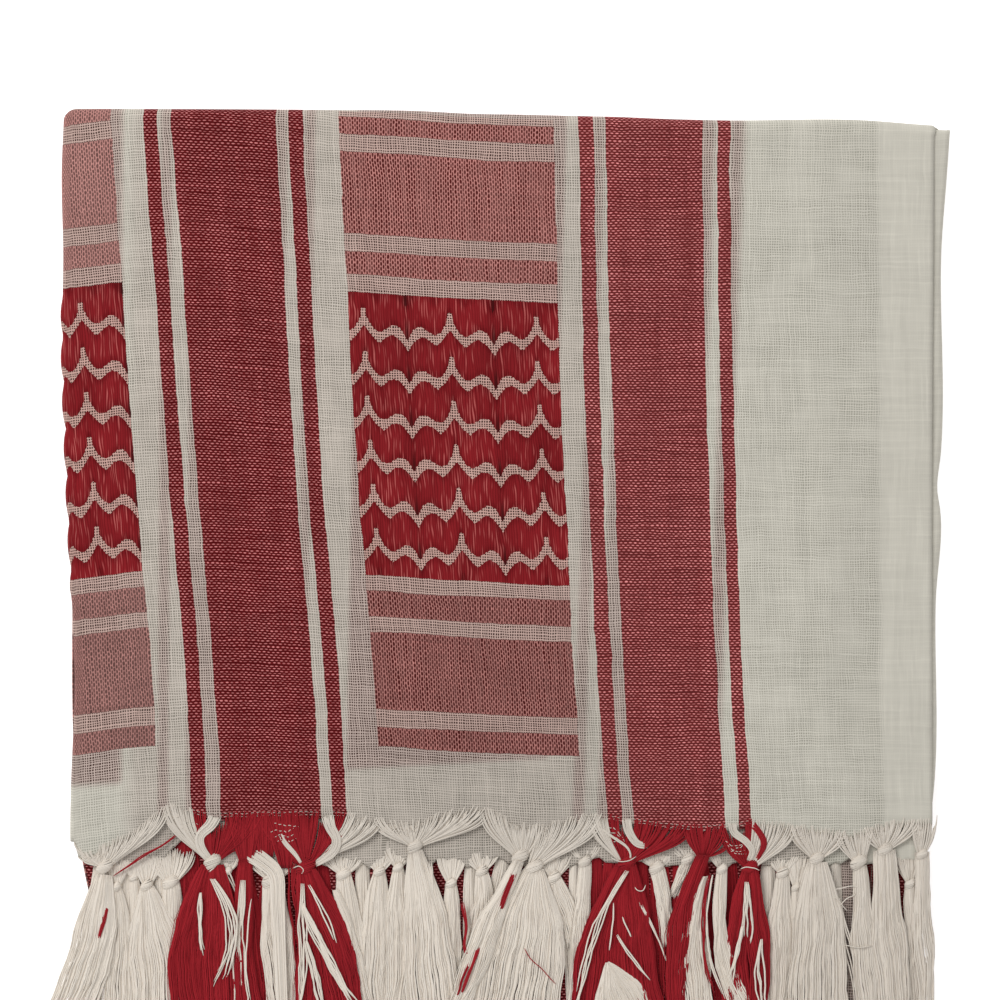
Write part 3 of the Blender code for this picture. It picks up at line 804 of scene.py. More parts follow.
def striped(thread, slub, red_beneath, crowded):
    """Crowded red ends crossed by cream picks."""
    pale = dash(thread["Parity"], thread["Across"], thread["Along"], 0.66, 0.24)
    base = blend_colour(thread["Along"].size().ease(0.5, 0.15), RED_SHADE, RED)
    colour = blend_colour((pale * crowded).math("MINIMUM", 1.0), base, DASH_ON_RED)
    right = thread["End place"].above(0.0)
    colour = blend_colour(right * 0.022, colour, CREAM_ON_RED)
    return shade_colour(colour, slub * 1.5 + 1.13 - red_beneath * 0.10 + right * 0.24)


def barred(thread, slub, crowded, height):
    """Crowded red picks crossed by cream ends, a little paler in the left block, and darker towards
    the foot by painted shade.
    """
    dark = dash(thread["Parity"], thread["Along"], thread["Across"], 0.98, 0.46)
    colour = blend_colour((dark * crowded).math("MINIMUM", 1.0), PINK, PINK_SHADE)
    colour = blend_colour(thread["End place"].below(LEFT_BLOCK_EDGE) * 0.13, colour, CREAM_ON_RED)
    # the height term is painted shade: the bars darken towards the foot
    return shade_colour(colour, slub * 1.5 + 0.86 + height.ease(-10.0, 120.0) * 0.19)


HOLE = 1.0 - 2.0 * THREAD_EDGE[1]
print("holes are", round(WARP_PITCH * HOLE, 2), "x", round(WEFT_PITCH * HOLE, 2), "mm")

# %% [markdown]
# The floats hide everything beneath them. They lie in bunches, two to a repeat, pinched apart
# by the thread that ties them down midway between two spikes; painted shade darkens each bunch
# at its sides and in the pinch, and thin painted highlights run along its strands. The last
# group then lays all kinds of cloth over each other by the draft.
# Slow noise along each thread gives slubs, and slower noise over the cloth gives the
# cloudiness of gauze. Towards the selvedge the threads stand closer and the holes close.

# %% Floats, and the whole cloth
# The deep red is both the darker tone and the painted shade of the floats, the glint colour a
# painted highlight, and the pinch colour painted shade.
FLOAT_RED = (0.195, 0.0110, 0.0145)
FLOAT_DEEP_AND_SHADE = (0.085, 0.0030, 0.0045)
FLOAT_GLINT = (0.480, 0.130, 0.120)
FLOAT_PINCH_SHADE = (0.034, 0.004, 0.004)
SELVEDGE_FROM = 129.6
CLOUDY_FROM = 112.9
# painted shade: between these ends the foot of the flap is darkened
SHADED_FOOT = (-46.0, 34.0)  # between these ends the foot of the flap is a little darker


def floated(u, v, along_float, pinch, side, cloud):
    """Loose red floats: they wander sideways and vary in tone; thin streaks of painted highlight
    run along them, and painted shade darkens their ends, the gaps between strands, the sides of a
    bunch and the pinch between two bunches."""
    wander = (noise(u * 0.25, v * 0.075, 1.0, 21.0) - 0.5) * 2.2
    strands = (u + wander) / WARP_PITCH
    strand, beside = strands.whole(), strands.part() - 0.5
    # glint: painted highlight in thin streaks
    glint = noise(strand * 5.3, v * 0.12, 1.0, 2.0).ease(0.47, 0.70)
    glint = glint * beside.size().ease(0.30, 0.05)
    tone = noise(strand * 3.9, v * 0.05, 1.0, 31.0)
    # ends, strand gaps and the sides of a bunch: painted shade
    ends = (along_float * 2.0 - 1.0).size().ease(0.45, 1.0) * 0.45
    shade = ends + beside.size().ease(0.22, 0.5) * 0.55 + (0.5 - tone) * 0.9 + side * 0.22
    colour = blend_colour(shade.clipped(), FLOAT_RED, FLOAT_DEEP_AND_SHADE)
    colour = blend_colour(glint * 0.7, colour, FLOAT_GLINT)
    colour = blend_colour(pinch * 0.80, colour, FLOAT_PINCH_SHADE)
    return shade_colour(colour, cloud * 0.8 + 0.80), beside


def cloth_group():
    """Colour and height of the patterned cloth from its two pairs of woven coordinates."""
    outputs = {"Colour": COLOUR, "Height": NUMBER}
    inputs = ("Across ends", "Along ends", "Across ends beneath", "Along ends beneath")
    tree, (u, v, u_beneath, v_beneath), close = open_group("patterned_cotton", inputs, outputs)
    thread = place_group(tree, THREADS, u, v)
    draft = place_group(tree, DRAFT, thread["End place"], thread["Pick place"], u, v)
    beneath = place_group(tree, BENEATH, u_beneath, v_beneath)["Red"]
    end_slub = noise(thread["End"] * 3.17, v * 0.045, 2.0)
    pick_slub = noise(u * 0.035, thread["Pick"] * 2.71, 2.0, 9.0)
    cloud = noise(u * 0.045, v * 0.03, 2.0, 3.0)
    patch = noise(u * 0.09, v * 0.09, 2.0, 14.0)
    slub = (end_slub + pick_slub - 1.0) * 0.30 + (cloud - 0.5) * 0.16

    place = thread["End place"]
    dense = place.ease(SELVEDGE_FROM - 1.6, SELVEDGE_FROM + 1.6)
    cloudy = place.ease(CLOUDY_FROM - 6.0, CLOUDY_FROM + 3.0) * (1.0 - dense) * (
        end_slub.ease(0.3, 0.6) * 0.04 + 0.02) + dense * 0.05
    # painted shade at the foot, handed to undyed together with the cloudiness
    shaded = soft_band(place, *SHADED_FOOT, blur=6.0) * v.ease(12.0, -30.0) * 0.07
    red_beneath = beneath.math("MAXIMUM", draft["Line"]).math("MAXIMUM", draft["Block"] * 0.92)
    open_share = patch * 1.5 + red_beneath * 0.35 + draft["Block"] * 0.25
    open_share = open_share * (1.0 - dense * 0.85)
    cream = undyed(thread, slub * 0.8, red_beneath, draft["Line"], draft["Block"], open_share,
                   cloudy + shaded)
    crossing = noise(thread["End"] * 1.7, thread["Pick"] * 1.7, 0.0, 50.0)
    crowded = noise(u * 0.30, v * 0.02, 1.0, 40.0) * 0.7 + pick_slub * 0.45 + crossing * 0.9 - 0.30
    red = striped(thread, slub, beneath, crowded)
    pink = barred(thread, slub + (crossing - 0.5) * 0.3, end_slub * 0.9 + 0.5, v)
    # pinch and side feed the painted shade of the floats
    pinch = draft["From spike"].ease(0.945, 0.985) * draft["Along float"].ease(0.25, 0.80)
    side = (draft["From spike"] * 2.0 - 1.0).size().ease(0.35, 1.0)
    floats, beside = floated(u, v, draft["Along float"], pinch, side, cloud)

    colour = blend_colour(draft["Red pick"], cream, pink)
    colour = blend_colour(draft["Red end"], colour, red)
    colour = blend_colour(draft["Float"], colour, floats)
    woven = choose(thread["Parity"], thread["Along"].size(), thread["Across"].size())
    pillow = draft["Along float"] * (1.0 - draft["Along float"]) * 4.0
    height = choose(draft["Float"], pillow * 2.4 - beside.size() * 0.7,
                    0.0 - woven * (1.0 - dense))
    close(Colour=colour, Height=height)
    return tree


PATTERNED = cloth_group()
print("whole cloth:", len(PATTERNED.nodes), "nodes and three groups")

# %% [markdown]
# Cotton has no gloss. The material is a rough shader with hardly any specular light and a
# trace of sheen, and the group's height becomes a bump of a sixth of a millimetre. It reads
# both maps of the piece, so each stretch of cloth can wear it.

# %% The cloth's material
def read_map(tree, label):
    """One map of the piece as two wires, in mm across and along the ends."""
    place = tree.nodes.new("ShaderNodeUVMap")
    place.uv_map = label
    parts = tree.nodes.new("ShaderNodeSeparateXYZ")
    tree.links.new(place.outputs[0], parts.inputs[0])
    return Wire(tree, parts.outputs[0]), Wire(tree, parts.outputs[1])


def matt_material(name, roughness, sheen):
    """An empty matt material: its tree and its Principled BSDF."""
    material = bpy.data.materials.new(name)
    material.use_nodes = True
    shader = material.node_tree.nodes["Principled BSDF"]
    shader.inputs["Roughness"].default_value = roughness
    shader.inputs["Specular IOR Level"].default_value = 0.04
    shader.inputs["Sheen Weight"].default_value = sheen
    shader.inputs["Sheen Roughness"].default_value = 0.6
    return material, material.node_tree, shader


def raise_surface(tree, shader, height, depth, strength):
    """Feeds a height, in the given depth of mm, to the shader's normal."""
    bump = tree.nodes.new("ShaderNodeBump")
    bump.inputs["Strength"].default_value = strength
    bump.inputs["Distance"].default_value = depth * MM
    plug(tree, height, bump.inputs["Height"])
    tree.links.new(bump.outputs[0], shader.inputs["Normal"])


def patterned_cotton(name):
    """The cloth's material."""
    material, tree, shader = matt_material(name, 0.92, 0.02)
    cloth = place_group(tree, PATTERNED, *read_map(tree, "cloth"), *read_map(tree, "beneath"))
    plug(tree, cloth["Colour"], shader.inputs["Base Color"])
    raise_surface(tree, shader, cloth["Height"], 0.16, 0.6)
    return material


PATTERNED_COTTON = patterned_cotton("patterned_cotton")
OUTER = outer_cloth(PATTERNED_COTTON)
print("outer cloth:", len(OUTER.data.vertices), "points")

# %% [markdown]
# Inside the bundle lie the other folds of the scarf, which no one sees except at the edges. They
# could be left out, but then a look from the side would find an empty case. One solid stands
# for them: a slab under the flap and a second, longer one below it, each a loop round
# its outline carried up a profile that swells once for every layer of cloth.

# %% The layers inside
SLAB_STEPS, SLAB_CORNER = 60, 0.008
SLAB_LEFT, FOOT_WIDTH, TOP_WIDTH = -140.0, 280.0, 285.0
INSET_LEFT, INSET_RIGHT, INSET_FOOT, INSET_TOP = 2.6, 1.6, 2.2, (2.4, 2.6)
SLAB_HEIGHTS = ((0.55, 4.0), (4.05, 7.0))  # the lower slab, then the upper one
UPPER_SLAB_FOOT = -73.0
LAYERS_IN_SLAB = 2
BETWEEN = 0.9  # how far the sides draw in between two layers
CAP_INSETS = (65.0, 5.0)  # how far the two loops that close the base or top are drawn in


def rounded_square(corner, steps_per_side):
    """Places round a unit square with cut corners, anticlockwise: (across, up)."""
    side = np.linspace(corner, 1.0 - corner, steps_per_side)
    zero, one = np.zeros_like(side), np.ones_like(side)
    return np.concatenate([np.stack([side, zero], 1), np.stack([one, side], 1),
                           np.stack([side[::-1], one], 1), np.stack([zero, side[::-1]], 1)])


def slab(edges, low, high, base, top, layers):
    """A closed slab between two side lines and two heights: a loop of points for each height,
    drawn in between the layers by BETWEEN, and closed by smaller loops at base and top."""
    place = rounded_square(SLAB_CORNER, SLAB_STEPS)
    left_line, right_line = edges
    y = low(place[:, 0]) + place[:, 1] * (high(place[:, 0]) - low(place[:, 0]))
    left, right = curve(left_line, y), curve(right_line, y)
    outline = np.stack([left + INSET_LEFT + place[:, 0] * (right - left - INSET_LEFT - INSET_RIGHT),
                        y], axis=-1)
    middle = outline.mean(axis=0)
    rise = np.linspace(0.0, 1.0, 8 * layers + 1)
    drawn = BETWEEN * (1.0 - np.abs(np.sin(math.pi * layers * rise)) ** 0.6)
    heights = np.concatenate([[base, base], base + rise * (top - base), [top, top]])
    drawn = np.concatenate([CAP_INSETS, drawn, CAP_INSETS[::-1]])
    reach = np.linalg.norm(outline - middle, axis=1)
    share = 1.0 - drawn[:, None] / reach[None, :]
    loops = middle + share[..., None] * (outline - middle)
    return np.dstack([loops, np.broadcast_to(heights[:, None], loops.shape[:2])])


def closed_loops(loops):
    """Points and quads of loops stacked upwards, with the first and last loop filled by strips."""
    rows, columns = loops.shape[:2]
    faces = [grid_faces(rows, columns, closed=True)]
    half = columns // 2
    for row, turn in ((0, 1), (rows - 1, -1)):
        ahead = row * columns + np.arange(half)
        behind = row * columns + (columns - 1 - np.arange(half))
        strip = np.stack([ahead[:-1], behind[:-1], behind[1:], ahead[1:]], axis=-1)
        faces.append(strip[:, ::turn])
    return loops.reshape(-1, 3), np.concatenate(faces)


def inner_layers(material):
    """Both slabs as one piece: one as long as the bundle, and one that ends under the flap."""
    lower = slab((BACK_LEFT_FOLD, BACK_RIGHT_EDGE),
                 lambda share: curve(BOTTOM_FOLD, SLAB_LEFT + FOOT_WIDTH * share) + INSET_FOOT,
                 lambda share: curve(TOP_FOLD, SLAB_LEFT + TOP_WIDTH * share) - INSET_TOP[0],
                 *SLAB_HEIGHTS[0], LAYERS_IN_SLAB)
    upper = slab((LEFT_FOLD, BACK_RIGHT_EDGE),
                 lambda share: np.full_like(share, UPPER_SLAB_FOOT),
                 lambda share: curve(TOP_FOLD, SLAB_LEFT + TOP_WIDTH * share) - INSET_TOP[1],
                 *SLAB_HEIGHTS[1], LAYERS_IN_SLAB)
    points, faces = closed_loops(lower)
    more_points, more_faces = closed_loops(upper)
    faces = np.concatenate([faces, more_faces + len(points)])
    return make_piece("inner_layers", np.concatenate([points, more_points]), faces, material)


# %% [markdown]
# Two more stretches of cloth do show: the layer right under the flap, which sticks out
# along the right edge and at the foot, and the one at the bottom, whose red stripes
# peep out between the tassels. Both are the same form, a sheet that lies flat and
# rolls down along its edges. A flat grid would end in a hard line instead of a fold. The
# slabs inside wear plain undyed cotton, with fine threads across and along.

# %% The two layers that show
ROLL_DOWN, ROLL_DOWN_STEPS = math.radians(140), 7
SHEET_WIDTH = 290.0  # both sheets are about this wide
TILT_FROM, TILT_TO = -60.0, 150.0  # between these heights the rows turn to follow the upper edge
INNER_CLOTH = 0.4  # thickness of one pressed layer
SECOND_TOP = ((-143.0, 162.6), (-50.0, 162.0), (20.0, 160.6), (118.0, 160.0), (153.4, 159.4))
SECOND_END, SECOND_HEIGHT, SECOND_ROLL, SECOND_COUNTS = -87.0, 7.6, 1.7, (90, 140)
UNROLLED_ROWS = 4  # the foot rolls down less, so its first rows are left out
DRAWN_UP_AT, UNDYED_TO = -104.0, 108.5  # mm across
PANEL_TOP = ((-150.0, -58.0), (150.0, -58.0))
PANEL_END, PANEL_HEIGHT, PANEL_ROLL, PANEL_COUNTS = -165.0, 4.55, 1.9, (60, 110)
PANEL_LENGTHWISE = 150.0  # mm along the ends from the panel's places to the flap's
PANEL_UNDYED, UNDYED_SHIFT = (118.0, 7.0), 16.0  # (middle, half-width), and mm across
# Stretches of warp without a stripe, and of the stripes: (middle, length of one way)
UNDYED_STRETCH, STRIPED_STRETCH = (-10.0, 72.0), (-80.5, 28.0)


def rolled(start, end, count, radius):
    """Places along a line that rolls down at both ends: the place and the drop at each."""
    turn = np.linspace(ROLL_DOWN, 0.0, ROLL_DOWN_STEPS + 1)[:-1]
    bend, drop = radius * (1.0 - np.sin(turn)), radius * (1.0 - np.cos(turn))
    flat = np.linspace(start + radius, end - radius, count)
    return (np.concatenate([start + bend, flat, end - bend[::-1]]),
            np.concatenate([drop, np.zeros(count), drop[::-1]]))


def covering(sides, low, high, height, radius, counts):
    """Points of a sheet that rolls down along all four edges: the foot is straight, and the
    upper edge follows a line."""
    y_middle = curve(high, 0.0)
    up, up_drop = rolled(low, y_middle, counts[0], radius)
    left, right = curve(sides[0], up), curve(sides[1], up)
    across, side_drop = rolled(0.0, SHEET_WIDTH, counts[1], radius)
    x = left[:, None] + across[None, :] / SHEET_WIDTH * (right - left)[:, None]
    lowered = np.hypot(up_drop[:, None], side_drop[None, :])
    up = up[:, None]
    y = up + (curve(high, x) - y_middle) * smooth(TILT_FROM, TILT_TO, up)
    return np.stack([x, y, height - lowered], axis=-1)


def to_and_fro(x, middle, length):
    """A woven place that goes evenly to and fro round a middle: the arcsine of a sine."""
    return middle + length / math.pi * np.arcsin(np.sin(x * math.pi / length))


def second_layer(material):
    """The layer under the flap. Its foot sinks, since nothing holds it down, puckers, and is
    drawn up at one place. What shows of the foot is undyed up to the right-hand stripes."""
    inside = tuple((y, x + FOLD_WIDTH) for y, x in LEFT_FOLD)
    points = covering((inside, BACK_RIGHT_EDGE), SECOND_END, SECOND_TOP, SECOND_HEIGHT,
                      SECOND_ROLL, SECOND_COUNTS)[UNROLLED_ROWS:]
    x, y = points[..., 0], points[..., 1]
    points[..., 2] -= 0.9 * smooth(-62.0, -82.0, y)
    points[..., 2] += 0.12 * np.sin(y * 0.11 + x * 0.03) * smooth(140.0, 147.0, x)
    foot = smooth(-72.0, SECOND_END, y)
    points[..., 2] += foot * 0.35 * np.sin(x * 0.52 + 1.0) * np.sin(y * 0.20 + x * 0.11)
    points[..., 1] += foot * (1.3 * np.sin(x * 0.37 + 1.0) + 0.8 * np.sin(x * 0.95)
                              + 7.0 * smooth(7.5, 3.5, np.abs(x - DRAWN_UP_AT)))
    across, along = place_beneath(x, y)
    points[..., 0] += 7.0 * smooth(-77.0, -88.0, y) * smooth(-122.0, -142.0, x)
    shows = (y < curve(WEAVE_END, x) + 2.0) & (x < UNDYED_TO)
    across = np.where(shows, to_and_fro(x, *UNDYED_STRETCH), across)
    woven = np.stack([across, along], axis=-1)
    maps = {"cloth": woven, "beneath": woven + OTHER_LAYER_SHIFT}
    return cloth_grid("second_layer", points, maps, material, thickness=INNER_CLOTH)


def back_panel(material):
    """The lowest layer, where it reaches out below the flap and carries the tassels: slow waves
    that are level towards its edges, and stripes all over but for one undyed stretch."""
    points = covering((BACK_LEFT_FOLD, BACK_RIGHT_EDGE), PANEL_END, PANEL_TOP, PANEL_HEIGHT,
                      PANEL_ROLL, PANEL_COUNTS)
    x, y = points[..., 0], points[..., 1]
    points[..., 2] += 0.15 * np.sin(x * 0.09 + 1.0) * np.sin(y * 0.05) * smooth(
        PANEL_END, -150.0, y) * smooth(146.0, 130.0, x) * smooth(-138.0, -120.0, x)
    striped_place, along = to_and_fro(x, *STRIPED_STRETCH), y + PANEL_LENGTHWISE
    undyed_here = np.abs(x - PANEL_UNDYED[0]) < PANEL_UNDYED[1]
    across = np.where(undyed_here, x - UNDYED_SHIFT, striped_place)
    maps = {"cloth": np.stack([across, along], axis=-1),
            "beneath": np.stack([striped_place, along], axis=-1)}
    return cloth_grid("back_panel", points, maps, material, thickness=INNER_CLOTH)


PLAIN_DARK, PLAIN_LIGHT = (0.430, 0.395, 0.340), (0.650, 0.610, 0.530)


def plain_cotton(name):
    """Undyed cotton for the layers that hardly show: fine threads across and along."""
    material, tree, shader = matt_material(name, 0.92, 0.02)
    place = tree.nodes.new("ShaderNodeTexCoord")
    parts = tree.nodes.new("ShaderNodeSeparateXYZ")
    tree.links.new(place.outputs["Object"], parts.inputs[0])
    x, y, z = (Wire(tree, parts.outputs[i]) / MM for i in range(3))
    threads = noise(x / WARP_PITCH, y * 0.05, 1.0) + noise(x * 0.05, (y + z) / WEFT_PITCH, 1.0, 4.0)
    level = (threads * 0.9 - 0.4).clipped()
    plug(tree, blend_colour(level, PLAIN_DARK, PLAIN_LIGHT), shader.inputs["Base Color"])
    raise_surface(tree, shader, level, 0.10, 0.5)
    return material


INNER = inner_layers(plain_cotton("hidden_cotton"))
SECOND = second_layer(PATTERNED_COTTON)
BACK = back_panel(PATTERNED_COTTON)
print("hidden layers:", [len(piece.data.vertices) for piece in (INNER, SECOND, BACK)], "points")

# %% [markdown]
# The fringe is the warp itself: below the last pick the ends are left unwoven, gathered
# in groups and tied, and the tassels hang from the knots. Curves with a round bevel would be
# the easy way, but thousands of curve objects are slow. Here all yarns of a bundle
# are one array of paths, and each gets four sides. Every yarn wanders a little, because
# the cotton is loosely spun, and has a tone of its own.

# %% Yarns and bundles of yarns
YARN_RADIUS, YARN_SPACING = 0.335, 0.45
WHITE, RED_YARN = 0, 1
COLOUR_NAMES = ("white_yarn", "red_yarn")
FRONT, LOWER = "front", "lower"
# The runs of the fringe from left to right, and where each ends
RUNS = ("left_white", "left_red", "middle_white", "right_red", "right_white")
RUN_ENDS = (-104.4, -47.2, 35.2, 88.5)
UP = np.array([0.0, 0.0, 1.0])
ALONG_THE_BUNDLE = np.array([0.0, 1.0, 0.0])
END_TAPER = (0.85, 0.65, 0.35)  # share of the radius at the last steps of a yarn
COMING_FREE = (0.35, 0.7, 0.9)  # the same at the first steps of one that comes out of cloth


def unit(vectors):
    """Vectors scaled to length 1."""
    return vectors / np.maximum(np.linalg.norm(vectors, axis=-1, keepdims=True), 1e-9)


def yarn_tubes(paths, radius, upright, taper):
    """Four-sided tubes round paths of one length each: side = upright x direction, and the ring
    is the path plus the radius times the side and its upright turned by 45, 135, ... degrees."""
    count, steps = paths.shape[:2]
    ahead = unit(np.gradient(paths, axis=1))
    side = unit(np.cross(upright, ahead))
    lift = np.cross(ahead, side)
    turn = math.pi * (0.25 + 0.5 * np.arange(4))
    thickness = np.ones(steps)
    thickness[:len(taper)] = taper
    thickness[-len(END_TAPER):] = END_TAPER
    reach = (radius * thickness)[None, :, None, None]
    rings = paths[:, :, None] + reach * (side[:, :, None] * np.cos(turn)[:, None]
                                         + lift[:, :, None] * np.sin(turn)[:, None])
    one = grid_faces(steps, 4, closed=True)
    caps = np.array([[3, 2, 1, 0], np.arange(4) + 4 * (steps - 1)])
    one = np.concatenate([one, caps])
    faces = one[None] + (np.arange(count) * steps * 4)[:, None, None]
    return rings.reshape(-1, 3), faces.reshape(-1, 4)


class Yarns:
    """Tubes collected for each piece, by its node and its colour."""

    def __init__(self):
        self.kept = {}

    def add(self, row, x, colour, paths, upright=UP, radius=YARN_RADIUS, taper=(0.4,)):
        """Keeps the paths under the run of the fringe that holds x. The taper is the share of the
        radius at the first steps."""
        run = RUNS[int(np.searchsorted(RUN_ENDS, x))]
        key = (f"{row}_fringe_{run}", colour)
        points, faces = yarn_tubes(paths, radius, upright, taper)
        tone = np.repeat(chance.random(len(paths)), 4 * paths.shape[1])
        self.kept.setdefault(key, []).append((points, faces, tone))

    def pieces(self, materials):
        """One mesh for each node and colour."""
        made = {}
        for (node, colour), parts in sorted(self.kept.items()):
            starts = np.cumsum([0] + [len(points) for points, _, _ in parts[:-1]])
            faces = np.concatenate([f + start for (_, f, _), start in zip(parts, starts)])
            name = f"{node}_{COLOUR_NAMES[colour]}"
            made[name] = (node, colour, make_piece(
                name, np.concatenate([part[0] for part in parts]), faces, materials[colour],
                tone=np.concatenate([part[2] for part in parts])))
        return made


print("the fringe hangs in", len(RUNS), "runs of", len(COLOUR_NAMES), "yarns")

# %% [markdown]
# A lock is one part of a tassel. Its yarns could all follow one line, but then it would look
# like a comb. They keep their order and wave with their neighbours, draw together in strands,
# and end at uneven lengths, and a few hairs stray from it. Locks that lie under the
# others get half the steps and no hairs, because little of them shows.

# %% Locks and knots
ROOT_HEIGHT = {FRONT: 7.7, LOWER: 6.3}
FOOT_HEIGHT = {FRONT: 6.9, LOWER: 5.3}
HIDDEN_LIFT = -0.5  # a lock no higher than this lies under the others
LOCK_STEPS = 18
THIN = 4.6  # a lock narrower than this has one sheet of yarns
STRAND_WIDTH = 3.2
# (unevenness of the places, of the lengths, drift to a side, rise of the middle)
THIN_LOCK, FULL_LOCK = (0.25, 0.22, 0.05, 1.1), (0.12, 0.07, 0.022, 0.75)
HAIR_EVERY, HAIR_RADIUS = 4, 0.13
KNOT_TURNS, KNOT_POINTS, KNOT_SLANT = 12, 17, 0.35


def loose_hairs(paths, reach, along):
    """Hairs over a lock: its yarns' paths in half the steps, a little higher, each straying to a
    side of its own by a share that grows towards the foot."""
    hairs = paths.copy()
    stray = chance.normal(0.0, 1.0, (3, len(hairs), 1))
    hairs[..., 0] += stray[0] * reach**1.4 * 1.6 + 0.35 * np.sin(along * 0.22 + stray[1] * 3.0)
    hairs[..., 2] += 0.30 + 0.08 * stray[2]
    return hairs[:, ::2]


def lock(row, colour, x0, y0, width0, x1, y1, width1, bow, lift, yarns):
    """A lock of a tassel: yarns side by side in two sheets, or in one if it is thin. The middle
    runs from root to foot with a bow and a sway, the width opens like a bell, the yarns draw
    together in strands, neighbours wave alike, and the end of a thin lock that lies on top
    sinks into the others."""
    thin = width1 < THIN
    uneven, unequal, drifting, rise = THIN_LOCK if thin else FULL_LOCK
    root_height = (FOOT_HEIGHT if lift <= HIDDEN_LIFT else ROOT_HEIGHT)[row]
    t = np.linspace(0.0, 1.0, LOCK_STEPS)
    in_sheet = max(1, round(width1 / (1.25 * YARN_SPACING if thin else YARN_SPACING)))
    count = in_sheet if thin else 2 * in_sheet
    sheet = np.arange(count) // in_sheet
    share = (np.arange(count) % in_sheet + 0.5 * sheet + 0.5) / in_sheet - 0.5
    share = share + chance.normal(0.0, uneven, count) / in_sheet
    reach = t[None, :] * (1.0 - unequal * chance.random((count, 1)))
    strands = max(1.0, width1 / STRAND_WIDTH)
    turn = 2.0 * math.pi * (strands * share[:, None] + chance.random())
    drawn = 0.32 * np.sin(turn) / (2.0 * math.pi * strands) * smooth(0.05, 0.5, reach)
    length = math.hypot(x1 - x0, y1 - y0)
    normal = np.array([y0 - y1, x1 - x0]) / length
    width = width0 + (width1 - width0) * np.sin(0.5 * math.pi * np.minimum(1.0, reach / 0.6))
    calm = smooth(0.0, 0.35, reach) * min(1.0, 0.35 + in_sheet / 8.0)
    start = chance.random(4) * 2.0 * math.pi
    drift = chance.normal(0.0, drifting, (count, 1)) * width1 * reach**1.5
    along = reach * length
    together = 0.24 * np.sin(along * 0.36 + share[:, None] * 5.0 + start[0]) + 0.10 * np.sin(
        along * 0.85 + share[:, None] * 14.0 + start[1])
    sway = 0.60 * np.sin(along * 0.13 + share[:, None] * 2.5 + start[3])
    own = 0.07 * np.sin(along * 1.1 + 2.0 * math.pi * chance.random((count, 1)))
    aside = (share[:, None] + drawn) * width + drift + calm * (together + sway + own)
    aside = aside + 4.0 * bow * reach * (1.0 - reach)
    crown = np.ones_like(drawn) if thin else 1.0 - (2.0 * np.clip(share, -0.5, 0.5)[:, None]) ** 2
    height = root_height + (FOOT_HEIGHT[row] - root_height) * smooth(0.0, 0.8, reach)
    height = height + lift + crown * (rise - 0.4 * reach)
    height = height - 0.30 * sheet[:, None] + chance.normal(0.0, 0.06, (count, 1))
    height = height + 0.20 * calm * np.cos(turn) * smooth(0.1, 0.6, reach)
    height = height + 0.12 * calm * np.sin(along * 0.6 + share[:, None] * 9.0 + start[2])
    if thin and lift > 0.5:
        height = height - 1.0 * smooth(0.84, 1.0, t) ** 2
    paths = np.stack([x0 + reach * (x1 - x0) + aside * normal[0],
                      y0 + reach * (y1 - y0) + aside * normal[1], height], axis=-1)
    kept = paths if lift > HIDDEN_LIFT else paths[:, ::2]
    yarns.add(row, x0, colour, kept, taper=COMING_FREE if thin else (0.4,))
    if not thin and lift > HIDDEN_LIFT:
        some = slice(0, in_sheet, HAIR_EVERY)
        hairs = loose_hairs(paths[some], reach[some], along[some])
        yarns.add(row, x0, colour, hairs, radius=HAIR_RADIUS)


def knot(row, colour, x, y, width, yarns, lift=0.0):
    """An overhand knot: turns of yarn wound round the bundle at a slant, as rings that swell
    towards the middle of the knot."""
    along = np.linspace(-1.0, 1.0, KNOT_TURNS)
    swell = np.sqrt(1.0 - 0.80 * along**2)
    angle = np.linspace(0.0, 2.0 * math.pi, KNOT_POINTS)
    side, depth = 0.52 * width, min(1.25, 0.34 * width)
    ring_x = x + side * swell[:, None] * np.cos(angle)
    ring_z = ROOT_HEIGHT[row] + lift + depth * swell[:, None] * np.sin(angle)
    ring_y = y + 0.40 * width * along[:, None] + KNOT_SLANT * side * np.cos(angle)
    loose = chance.normal(0.0, 0.10, (KNOT_TURNS, 1))
    ring_y = ring_y + loose * np.sin(angle + chance.random() * 6.0)
    paths = np.stack([ring_x, ring_y, ring_z], axis=-1)[:, ::-1]
    yarns.add(row, x, colour, paths, upright=ALONG_THE_BUNDLE, radius=0.30)


print("a lock 10 mm wide has", 2 * round(10.0 / YARN_SPACING), "yarns in two sheets")

# %% [markdown]
# Between the last pick and its knot, a group of ends fans in. Each yarn keeps the colour of
# its own warp end, so the stripes run on into the fans. A few white ends leave the red
# stripes as ribbons of their own, and single picks still cross the fans here and there.

# %% Fans, ribbons and last picks
GATHER_STEPS, RIBBON_STEPS = 12, 26
SHEET_GAP = 0.32  # how far the lower sheet of a fan lies under the upper one
EMERGE = (0.0, 5.0)  # how far above the end of the weave a yarn comes free
LOWER_START = 6.15  # how high a yarn of the lower row leaves the gauze
# Stretches whose white ends leave the weave as a ribbon of their own: (from x, to x)
RIBBONED = ((-96.3, -89.6), (-58.4, -52.9), (42.0, 47.5), (77.5, 84.5))
RIBBON_TAKES = 5.5  # how much lower the red ends beneath a ribbon start
LAST_PICK_ROWS = ((1.4, -0.10), (2.5, -0.26))  # (above the end of the weave, lift)
LAST_PICK_RADIUS, CROSS_RADIUS = 0.085, 0.15
CROSSED_STEPS, CROSSED_SHARE = (2, 3, 4, 5), 0.28  # where on a fan loose picks cross it


def red_at(x, y):
    """Which places of the flap lie in a red stripe."""
    u, _ = woven_place(x, y)
    return np.any([(u > low) & (u < high) for low, high in RED_ENDS], axis=0)


